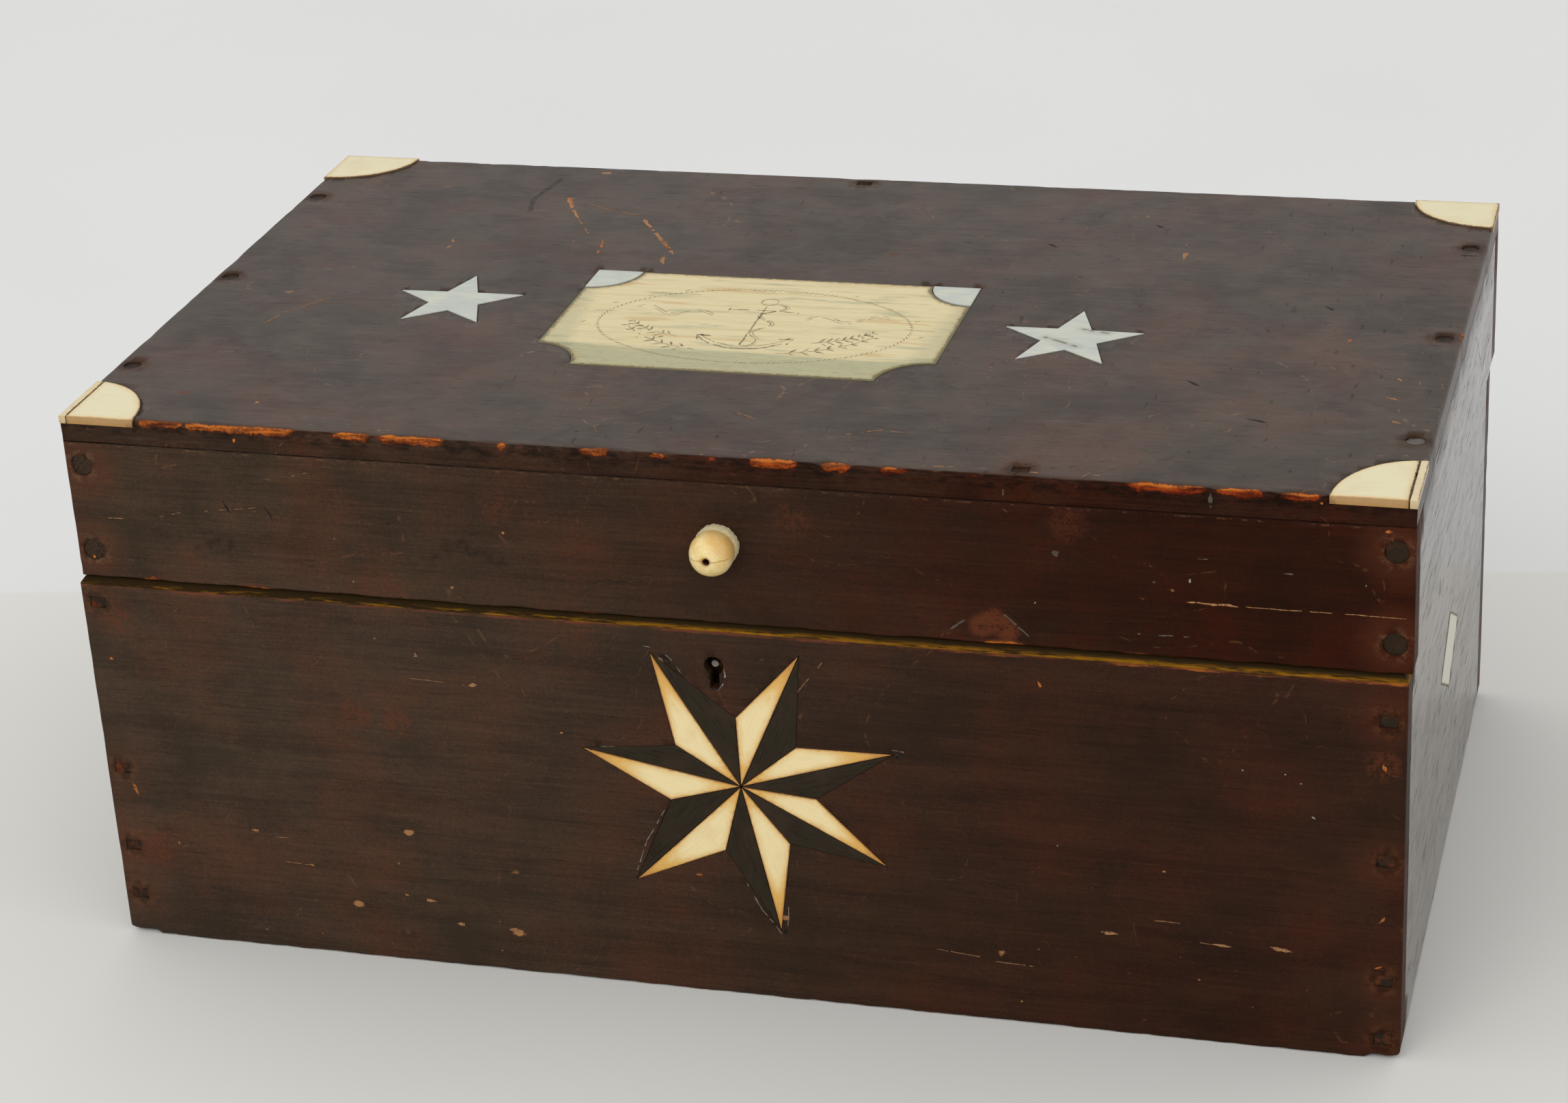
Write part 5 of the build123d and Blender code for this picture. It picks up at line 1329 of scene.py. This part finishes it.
TOP_CHIPS = (
    ("tan", 0.75, 0.95, 0.1, (((-102.6, 84), (-97, 73), (-91, 62)), ((-72, 67), (-62, 52),
      (-52, 36)))),
    ("bare", 0.5, 0.8, 0.2, (((-101.6, 83), (-97, 75)), ((-60, 49), (-54, 39)), ((-78, 46),
      (-76.5, 40), (-75.6, 33)))),
    ("tan", 0.3, 0.6, 0.3, (((-91, 62), (-83.5, 49)), ((-101, 82), (-86, 73), (-72, 68)),
      ((34, -91), (44, -86), (52, -87)), ((-145, -12), (-155, -26), (-158, -36)), ((1, -80),
      (9, -84)))),
    ("tan", 0.8, 0.8, 0.2, (((-54.5, 35), (-54, 31), (-52.3, 27)), ((102, 65), (103, 58),
      (103.4, 51)), ((-136, -93),), ((-125.5, 42), (-124.5, 36), (-124.6, 31)))),
    ("bare", 0.9, 0.7, 0.4, (((160.5, -4), (159, -8.5)), ((-163, 14), (-156, 11)))),
    ("chalk", 0.3, 0.4, 0.5, (((-116, -106), (-108, -105)), ((-113, -104), (-106, -102)),
      ((-40, -106.5), (-34, -106)), ((74, -107), (84, -106.6)), ((104, -107), (112, -106.5)),
      ((-8, -107), (-2, -106.5)))),
    ("tan", 0.5, 0.7, 0.5, (((-96, -107), (-88, -106)), ((60, -107.5), (70, -107)), ((88, -107.6),
      (96, -107)), ((176, -30), (180, -34)), ((177, -20), (181, -22)), ((175, -44), (179, -46)),
      ((178, -60), (182, -62)))),
    ("soot", 0.6, 0.8, 0.0, (((183.5, 66), (188.5, 66)), ((150, 20), (153, 17)), ((120, -40),
      (124, -44)), ((90, 80), (93, 78)), ((140, -64), (146, -66)), ((60, 60), (64, 57)))),
)
STAR_CRACKS = (((74.7, -14.8), (80.2, -17.7), (84.9, -20.4)), ((84.3, -7.2), (87.3, -8.3)),
               ((90.2, -9.0), (91.8, -9.3)))
TINTS = ("tan", "bare", "red", "haze", "chalk", "moss", "soot")
END_LOOK = {"face": "end", "flecks": 0.02, "gloss": 1.0, "rough": 0.16, "pores": 1.0,
            "nicks": 0.5, "stains": END_STAINS}
LOOKS = {
    "base_front": {"face": "front", "stains": BASE_FRONT_STAINS, "flecks": 0.03, "low": 0.16,
                   "painted_shade": 0.75, "gloss": 0.22, "ring": 0.16},
    "lid_front": {"face": "front", "stains": LID_FRONT_STAINS, "flecks": 0.02, "gloss": 0.14,
                  "painted_shade": 1.0},
    "base_back": {"face": "front", "flecks": 0.05, "low": 0.1, "painted_shade": 0.3, "gloss": 0.3},
    "lid_back": {"face": "front", "flecks": 0.04, "painted_shade": 0.3, "gloss": 0.3},
    "top_board": {"face": "top", "stains": TOP_STAINS, "flecks": 0.025, "gloss": 0.75,
                  "rough": 0.34, "nicks": 1.0, "ring": 0.1, "streaky": 0.15, "scuffed": 0.3},
    "base_end": END_LOOK,
    "lid_end": END_LOOK,
}
CHIPS = {"base_front": BASE_FRONT_CHIPS, "lid_front": LID_FRONT_CHIPS, "top_board": TOP_CHIPS}


def heads_on_boards():
    """Heads of nails and pegs drawn on the face of each board that shows them."""
    heads = {}
    for node in ("base_corner_nails", "lid_corner_pegs", "top_board_pegs", "top_board_nails"):
        for box in loose_boxes(node):
            x, y, z = middle_of(*box)
            if node.startswith("top"):
                heads.setdefault("top_board", []).append((x, y))
            else:
                board = f"{node.split('_')[0]}_{'front' if y < 0 else 'back'}"
                heads.setdefault(board, []).append((x, z))
    return heads


class DITTYBOX_OT_boards(bpy.types.Operator):
    """Build the worn boards of base and lid"""
    bl_idname = "dittybox.boards"
    bl_label = "Boards"
    bl_options = {"REGISTER", "UNDO"}

    def execute(self, context):
        wood = context.scene.ditty_box.wood
        inside = {axis: inside_wood(f"inside_{axis}", axis, wood) for axis in "xy"}
        heads = heads_on_boards()
        outer = {key: Varnish(f"{key}_varnish", wood, heads.get(key), look).material
                 for key, look in LOOKS.items()}
        for node in BASE_BOARDS + LID_BOARDS:
            axis = "y" if node.endswith(("left", "right")) else "x"
            if node == "bottom_board":
                finish = inside["x"]
            else:
                finish = outer[node if axis == "x" else f"{node.split('_')[0]}_end"]
            worn_board(node, f"worn_{node}", [finish, inside[axis]], wood,
                       "top" if node == "top_board" else "front", CHIPS.get(node))
        return {"FINISHED"}


class DITTYBOX_OT_front_star(bpy.types.Operator):
    """Build the bone and ebony star in the front"""
    bl_idname = "dittybox.front_star"
    bl_label = "Front star"
    bl_options = {"REGISTER", "UNDO"}

    def execute(self, context):
        inlay = context.scene.ditty_box.inlay
        finishes = {"bone": bone("star_bone", inlay), "ebony": ebony("star_ebony", inlay)}
        for name in sorted(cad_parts):
            if name.startswith("star_"):
                corners = [vert.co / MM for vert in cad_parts[name].data.vertices]
                tip = max(corners, key=lambda corner: (corner - STAR_HEART).length)
                slot = "bone" if "bone" in name else "ebony"
                inlaid(name, f"{name}_point", finishes[slot], (0, -1, 0), "base",
                       inlay.ease, 1.0, STAR_HEART, tip - STAR_HEART)
        return {"FINISHED"}


def joint_dirt(mesh, strip):
    """Old dirt in the joint between a corner plate and its strip, wider towards the front."""
    low, high = node_box(strip)
    x = low[0] - 0.25 if low[0] > 0 else high[0] + 0.25
    strokes(mesh, [(x, low[1]), (x, low[1] + 5.0), (x, high[1] - 0.4)], 0.95, 0.0, on_top)


class DITTYBOX_OT_bone_plates(bpy.types.Operator):
    """Build the corner plates, their strips and the diamonds"""
    bl_idname = "dittybox.bone_plates"
    bl_label = "Corner plates and diamonds"
    bl_options = {"REGISTER", "UNDO"}

    def execute(self, context):
        inlay = context.scene.ditty_box.inlay
        cream, grey = srgb(216, 207, 170), srgb(204, 204, 188)
        finish = bone("corner_bone", inlay, stain=0.75, body=cream, outlined=0.3)
        narrow = bone("strip_bone", inlay, stain=0.3, body=cream, outlined=0.12)
        pale = bone("diamond_bone", inlay, stain=0.3, body=grey, outlined=0.75)
        dirt = bmesh.new()
        for name in sorted(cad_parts):
            if name.startswith("bone_"):
                strip = "strip" in name
                inlaid(name, f"{name}_plate", narrow if strip else finish, (0, 0, 1),
                       "lid", inlay.ease * 2)
                if strip:
                    joint_dirt(dirt, name)
            elif name.startswith("side_diamond"):
                side = -1 if name.endswith("left") else 1
                inlaid(name, f"{name}_plate", pale, (side, 0, 0), "base", inlay.ease,
                       along=(0, 1, 0))
        brown = ink("joint_dirt", srgb(64, 50, 28), srgb(118, 90, 46))
        piece_from(dirt, "corner_joints", [brown], "lid")
        return {"FINISHED"}


def arc(x, y, radius, start, end, count=9):
    """Points of an arc: centre, radius, angles in degrees."""
    angles = [math.radians(start + (end - start) * i / (count - 1)) for i in range(count)]
    return [(x + radius * math.cos(angle), y + radius * math.sin(angle)) for angle in angles]


def spray(x, y, length, lean, bend, side):
    """A leafy stem and its leaves, as half widths and lists of points."""
    def onward(spot, angle, far):
        return (spot[0] + side * far * math.cos(angle), spot[1] + far * math.sin(angle))

    stem, leaves = [(x, y)], []
    for i in range(1, 9):
        stem.append(onward(stem[-1], lean + bend * i / 8, length / 8))
        for way in (-1, 1):
            reach = (4.6 - 0.3 * i) * (0.9 + 0.2 * ripple(i, way * 5.0, x, scale=1.3))
            leaf = onward(stem[i], lean + bend * i / 8 + way * 0.85, reach)
            leaves.append((0.42, [stem[i], leaf]))
    return [(0.2, stem), *leaves]


def plaque_drawing():
    """An anchor and cable between sprays and streamers: half width and points of each stroke."""
    x, y = PLAQUE_HEART
    drawn = [(0.34, [(x, y + 16), (x, y - 17)]),
             (0.34, [(x - 10, y + 11.4), (x, y + 12), (x + 10, y + 11.4)]),
             (0.24, arc(x, y + 18.6, 2.6, 0, 360, 13)),
             (0.4, arc(x, y - 2, 16, -152, -28)), (0.18, arc(x, y + 0.2, 16, -148, -32)),
             (0.4, [(x - 10.4, y + 10.2), (x - 10.4, y + 12.8)]),
             (0.4, [(x + 10.4, y + 10.2), (x + 10.4, y + 12.8)])]
    for side in (-1, 1):
        tip = (x + side * 14.4, y - 8.6)
        drawn += [(0.6, [tip, (x + side * 10.2, y - 9.4)]),
                  (0.6, [tip, (x + side * 13.4, y - 13.2)])]
        drawn += spray(x + side * 12, y - 20, 30, 0.1, 0.8, side)
        drawn += spray(x + side * 20, y - 11, 19, 0.2, 0.6, side)
        streamer = [(x + side * (14 + i * 1.9), y + 7 + 2.4 * math.sin(i * 0.7) + i * 0.25)
                    for i in range(14)]
        drawn += [(0.2, streamer), (0.14, [(a, b - 1.4) for a, b in streamer])]
    cable = [(x + 2.4 + 4.0 * math.sin(i * 0.55) * (1 - i / 40), y + 17.5 - i * 1.15)
             for i in range(30)]
    drawn += [(0.24, cable), (0.13, [(a + 0.9, b + 0.25) for a, b in cable])]
    ticks = ((-47, 12), (-38, 19), (36, 17), (46, 9), (-28, 24), (24, 26), (50, -3), (-52, -4))
    drawn += [(0.24, [(x + a, y + b), (x + a + 1.6, y + b + 1.1)]) for a, b in ticks]
    rules = ((-40, 22, -22), (-8, 27, 12), (18, 23, 36), (-54, 6, -46), (44, 3, 54))
    drawn += [(0.12, [(x + a, y + b), (x + c, y + b - 0.4)]) for a, b, c in rules]
    return drawn


class DITTYBOX_OT_plaque(bpy.types.Operator):
    """Build the engraved plaque and its pearl corners"""
    bl_idname = "dittybox.plaque"
    bl_label = "Plaque"
    bl_options = {"REGISTER", "UNDO"}

    def execute(self, context):
        inlay = context.scene.ditty_box.inlay
        inlaid("plaque", "plaque_plate", plaque_finish("plaque_bone", inlay), (0, 0, 1),
               "lid", inlay.ease)
        mesh = bmesh.new()
        for half, points in plaque_drawing():
            strokes(mesh, points, half, 0.12, on_top)
        piece_from(mesh, "plaque_engraving", [ink("sepia_ink", inlay.sepia)], "lid")
        rope_border(inlay)
        for side in ("left", "right"):
            node = f"plaque_pearl_{side}"
            inlaid(node, f"{node}_corner", pearl(f"{side}_corner_pearl", inlay),
                   (0, 0, 1), "lid", inlay.ease)
        return {"FINISHED"}


class DITTYBOX_OT_pearl_stars(bpy.types.Operator):
    """Build the two pearl stars in the lid"""
    bl_idname = "dittybox.pearl_stars"
    bl_label = "Pearl stars"
    bl_options = {"REGISTER", "UNDO"}

    def execute(self, context):
        settings = context.scene.ditty_box
        inlay, stars = settings.inlay, settings.stars
        shift = (LID_LOW[0] + LID_HIGH[0]) / 2
        for side, place, radius, turn, cracks in (
                ("left", (shift - 107.5, -9.9), 20.3, stars.left_turn, ()),
                ("right", (shift + 80.8, -14.6), 21.3, stars.right_turn, STAR_CRACKS)):
            pearl_star(f"pearl_star_{side}", place, radius, turn, stars,
                       pearl(f"{side}_star_pearl", inlay, cracks))
        return {"FINISHED"}


class DITTYBOX_OT_nails(bpy.types.Operator):
    """Grow the nails that hold the corners, bottom and top"""
    bl_idname = "dittybox.nails"
    bl_label = "Nails"
    bl_options = {"REGISTER", "UNDO"}

    def execute(self, context):
        metals = context.scene.ditty_box.metal
        iron = metal("rusty_iron", metals.iron, metals.rust, 0.7, metallic=0.0, pitted=0.4)
        nails("base_corner_nails", iron, None, "base", 3)
        nails("bottom_nails", iron, (0, 0, -1), "base", 5)
        nails("top_board_nails", iron, (0, 0, 1), "lid", 7)
        return {"FINISHED"}


class DITTYBOX_OT_pegs(bpy.types.Operator):
    """Grow the wooden pegs in the lid"""
    bl_idname = "dittybox.pegs"
    bl_label = "Pegs"
    bl_options = {"REGISTER", "UNDO"}

    def execute(self, context):
        settings = context.scene.ditty_box
        metals, wood = settings.metal, settings.wood
        pegs("lid_corner_pegs", peg_ends("corner_peg_ends", metals, wood), None, "lid", 11)
        # The top pegs get a coat of gloss, and one of them a painted reflection.
        rubbed = peg_ends("top_peg_ends", metals, wood, rubbed=True)
        pegs("top_board_pegs", rubbed, (0, 0, 1), "lid", 13)
        return {"FINISHED"}


class DITTYBOX_OT_screws(bpy.types.Operator):
    """Grow the small screws of hinges and lock"""
    bl_idname = "dittybox.screws"
    bl_label = "Screws"
    bl_options = {"REGISTER", "UNDO"}

    def execute(self, context):
        metals = context.scene.ditty_box.metal
        iron = metal("dull_iron", metals.iron, metals.rust, 0.45, metallic=0.9, pitted=0.15)
        screws("hinge_lower_screws", iron, (0, 0, 1), "base", 17)
        screws("hinge_upper_screws", iron, (0, 0, -1), "lid", 19)
        screws("lock_screws", iron, (0, 1, 0), "base", 23)
        screws("link_plate_screws", iron, (0, 0, -1), "lid", 29)
        return {"FINISHED"}


# Radius and distance out from the lid's front, from the end of the tenon to the small hole.
KNOB_PROFILE = ((0.0, -9.0), (2.6, -9.0), (2.6, -0.1), (6.2, 0.0), (6.35, 0.5), (6.25, 1.1),
                (6.3, 1.8), (5.95, 2.4), (5.75, 2.9), (5.9, 3.7), (6.05, 4.7), (6.15, 5.8),
                (6.12, 6.8), (5.95, 7.8), (5.6, 8.8), (5.05, 9.7), (4.3, 10.5), (3.4, 11.1),
                (2.4, 11.55), (1.5, 11.8), (1.15, 11.8), (0.95, 11.6), (0.9, 10.4), (0.85, 9.0),
                (0.0, 9.0))
KNOB_SIDES = 64
COLLAR = 3.2                  # height of the knob's ragged collar


def knob_ring(mesh, middle, radius, out):
    """One ring of the knob's surface, or a single point on its axis."""
    if radius == 0:
        return [mesh.verts.new((middle + Vector((0, -out, 0))) * MM)] * KNOB_SIDES
    ring = []
    for side in range(KNOB_SIDES):
        turn = math.tau * side / KNOB_SIDES
        spoke = Vector((math.cos(turn), 0, math.sin(turn)))
        ragged = 0.0
        if 0 <= out < COLLAR:
            ragged = 0.35 * ripple(*(spoke * 6.0), scale=1.1) - 0.2
        elif radius > 1.4:
            ragged = 0.1 * ripple(spoke.x * radius, out, spoke.z * radius, scale=5.0)
        place = middle + spoke * (radius + ragged) + Vector((0, -out, 0))
        ring.append(mesh.verts.new(place * MM))
    return ring


def knob_finish(middle):
    """Yellowed bone: chalky collar, cloudy head, a hairline through the hole, which is darker
    inside.
    """
    made = Finish("turned_bone_finish")
    x, y, z = made.apart(made.mapped(made.place, move=tuple(-middle)))
    cloud = made.noise(made.place, 0.3, 4.0)
    grit = made.noise(made.place, 1.6, rough=0.7)
    drift = cloud - 0.5
    made.colour = made.blend(made.between(cloud, 0.35, 0.65), srgb(222, 190, 118),
                             srgb(232, 212, 156))
    made.paint(made.between(grit, 0.45, 0.7) * 0.35, srgb(204, 162, 84))
    chalk = made.between(y + drift * 2.5, -3.6, -2.2)
    made.paint(chalk, made.blend(grit, srgb(228, 216, 178), srgb(168, 148, 104)))
    crack = made.near(z + drift * 1.2, 0.28, 0.05) * made.between(y, -8.0, -9.0)
    made.paint(crack * 0.4, srgb(130, 90, 44))
    radius = made.math("SQRT", x * x + z * z)
    end = made.between(y, -6.0, -9.0)
    made.paint(made.between(radius + drift, 1.9, 0.9) * end * 0.8, srgb(150, 96, 44))
    # Darker inside the small hole.
    made.paint(made.between(radius, 1.05, 0.9) * end, srgb(60, 34, 18))
    amber = made.between(x + z + drift * 4.0, 3.5, 7.0) * made.between(y, -3.4, -4.6)
    made.paint(amber * 0.5, srgb(206, 146, 62))
    return made.done(grit * (chalk * 0.35 + 0.03) - crack * 0.1, Roughness=0.3 + chalk * 0.45)


class DITTYBOX_OT_knob(bpy.types.Operator):
    """Turn the bone knob with its ragged collar"""
    bl_idname = "dittybox.knob"
    bl_label = "Knob"
    bl_options = {"REGISTER", "UNDO"}

    def execute(self, context):
        middle = Vector(middle_of(*node_box("knob")))
        middle.y = LID_LOW[1]
        mesh = bmesh.new()
        rings = [knob_ring(mesh, middle, radius, out) for radius, out in KNOB_PROFILE]
        for first, second in zip(rings, rings[1:]):
            for side in range(KNOB_SIDES):
                after = (side + 1) % KNOB_SIDES
                corners = (first[side], first[after], second[after], second[side])
                mesh.faces.new(dict.fromkeys(corners))
        bmesh.ops.recalc_face_normals(mesh, faces=mesh.faces)
        made = piece_from(mesh, "turned_knob", [knob_finish(middle)], "lid", 60.0)
        instead(made, "knob")
        return {"FINISHED"}


class DITTYBOX_OT_metalwork(bpy.types.Operator):
    """Finish the hinges and the lock"""
    bl_idname = "dittybox.metalwork"
    bl_label = "Hinges and lock"
    bl_options = {"REGISTER", "UNDO"}

    def execute(self, context):
        metals = context.scene.ditty_box.metal
        brass = metal("tarnished_brass", metals.brass, srgb(84, 62, 36), 0.34)
        steel = metal("spring_steel_finish", metals.steel, srgb(70, 60, 52), 0.4)
        pin = metal("lock_pin_finish", srgb(150, 142, 132), srgb(84, 72, 62), 0.4)
        brasses = ("hinge_pins", "hinge_lower_left", "hinge_lower_right", "hinge_upper_left",
                   "hinge_upper_right", "lock_plate", "lock_case", "lock_bolt", "link_plate")
        for name, finish in {"lock_spring": steel, "lock_drill_pin": pin,
                             **dict.fromkeys(brasses, brass)}.items():
            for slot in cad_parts[name].material_slots:
                slot.material = finish
        return {"FINISHED"}


FLOOR_HALF = 4.0              # in metres, like the lamp
LAMP_PLACE, LAMP_SIZE = (-0.25, -1.5, 1.3), 1.4
BOARD_WAY, BOARD_LINE = (-0.1889, 0.982, 0.0), 161.0    # where the board behind begins


def table_top(stage):
    """Pale table with a paler board behind it, met along one straight line."""
    made = Finish("table_top")
    away = made.vector("DOT_PRODUCT", made.place, BOARD_WAY, "Value")
    behind = made.between(away, BOARD_LINE, BOARD_LINE + 2.5)
    made.colour = made.blend(behind, stage.floor, stage.wall)
    cloud = made.noise(made.place, 0.004, 2.0, 0.5)
    made.paint(made.between(cloud, 0.3, 0.8) * 0.06, srgb(170, 168, 164))
    return made.done(Roughness=0.85, Specular_IOR_Level=0.1)


def daylight(stage):
    """Even light, seen as a pale backdrop by the camera and by gloss."""
    world = bpy.data.worlds.new("daylight")
    world.use_nodes = True
    made = Tree(world.node_tree)
    seen = made.add("ShaderNodeLightPath", output="Is Camera Ray")
    gloss = made.math("MAXIMUM", made.also("Is Glossy Ray"), made.also("Is Transmission Ray"))
    here = made.add("ShaderNodeTexCoord", output="Generated")
    room = made.blend(made.between(made.apart(here)[1], 0.1, -0.5), stage.wall, stage.room)
    colour = made.blend(gloss, (stage.sky,) * 3 + (1.0,), room)
    back = world.node_tree.nodes["Background"]
    made.feed(back.inputs["Color"], made.blend(seen, colour, stage.wall))
    return world


def look_at(item, place, aim, roll=0.0):
    """Links a lamp or camera to the scene and turns it towards a point."""
    item.location = place
    item.rotation_mode = "QUATERNION"
    turn = (Vector(aim) - Vector(place)).to_track_quat("-Z", "Y")
    item.rotation_quaternion = turn @ Quaternion((0, 0, 1), roll)
    bpy.context.scene.collection.objects.link(item)


class DITTYBOX_OT_stage(bpy.types.Operator):
    """Set up floor, light and camera"""
    bl_idname = "dittybox.stage"
    bl_label = "Stage"
    bl_options = {"REGISTER", "UNDO"}

    def execute(self, context):
        scene, stage = context.scene, context.scene.ditty_box.stage
        data = bpy.data.meshes.new("floor")
        corners = ((-1, -1, 0), (1, -1, 0), (1, 1, 0), (-1, 1, 0))
        data.from_pydata([Vector(corner) * FLOOR_HALF for corner in corners], [], [(0, 1, 2, 3)])
        data.materials.append(table_top(stage))
        floor = bpy.data.objects.new("floor", data)
        scene.collection.objects.link(floor)
        scene.world = daylight(stage)
        lamp = bpy.data.lights.new("key", "AREA")
        lamp.shape, lamp.size, lamp.energy = "DISK", LAMP_SIZE, stage.key
        look_at(bpy.data.objects.new("key", lamp), LAMP_PLACE, (0.0, 0.0, 0.0))
        lens = bpy.data.cameras.new("camera")
        lens.lens, lens.sensor_width, lens.sensor_fit = stage.lens, 36.0, "HORIZONTAL"
        lens.clip_start, lens.clip_end = 0.01, 100.0
        camera = bpy.data.objects.new("camera", lens)
        look_at(camera, stage.camera, stage.aim, stage.roll)
        scene.camera = camera
        scene.view_settings.view_transform = "Standard"
        return {"FINISHED"}


STEPS = (DITTYBOX_OT_boards, DITTYBOX_OT_front_star, DITTYBOX_OT_bone_plates,
         DITTYBOX_OT_plaque, DITTYBOX_OT_pearl_stars, DITTYBOX_OT_nails, DITTYBOX_OT_pegs,
         DITTYBOX_OT_screws, DITTYBOX_OT_knob, DITTYBOX_OT_metalwork, DITTYBOX_OT_stage)


class DITTYBOX_PT_panel(bpy.types.Panel):
    """Buttons for each step, and the sizes and colours"""
    bl_idname = "DITTYBOX_PT_panel"
    bl_label = "Ditty box"
    bl_space_type = "VIEW_3D"
    bl_region_type = "UI"
    bl_category = "Ditty box"

    def draw(self, context):
        settings = context.scene.ditty_box
        for step in STEPS:
            self.layout.operator(step.bl_idname)
        for group in (settings.wood, settings.inlay, settings.metal, settings.stars,
                      settings.stage):
            box = self.layout.box()
            for name in group.bl_rna.properties.keys():
                if name not in ("rna_type", "name"):
                    box.prop(group, name)


CLASSES = (DittyBoxWood, DittyBoxInlay, DittyBoxMetal, DittyBoxStars, DittyBoxStage,
           DittyBoxSettings, *STEPS, DITTYBOX_PT_panel)


def register():
    for kind in CLASSES:
        bpy.utils.register_class(kind)
    bpy.types.Scene.ditty_box = bpy.props.PointerProperty(type=DittyBoxSettings)


def unregister():
    del bpy.types.Scene.ditty_box
    for kind in reversed(CLASSES):
        bpy.utils.unregister_class(kind)


def main():
    register()
    for step in STEPS:
        group, name = step.bl_idname.split(".")
        getattr(getattr(bpy.ops, group), name)()


if __name__ == "__main__":
    main()
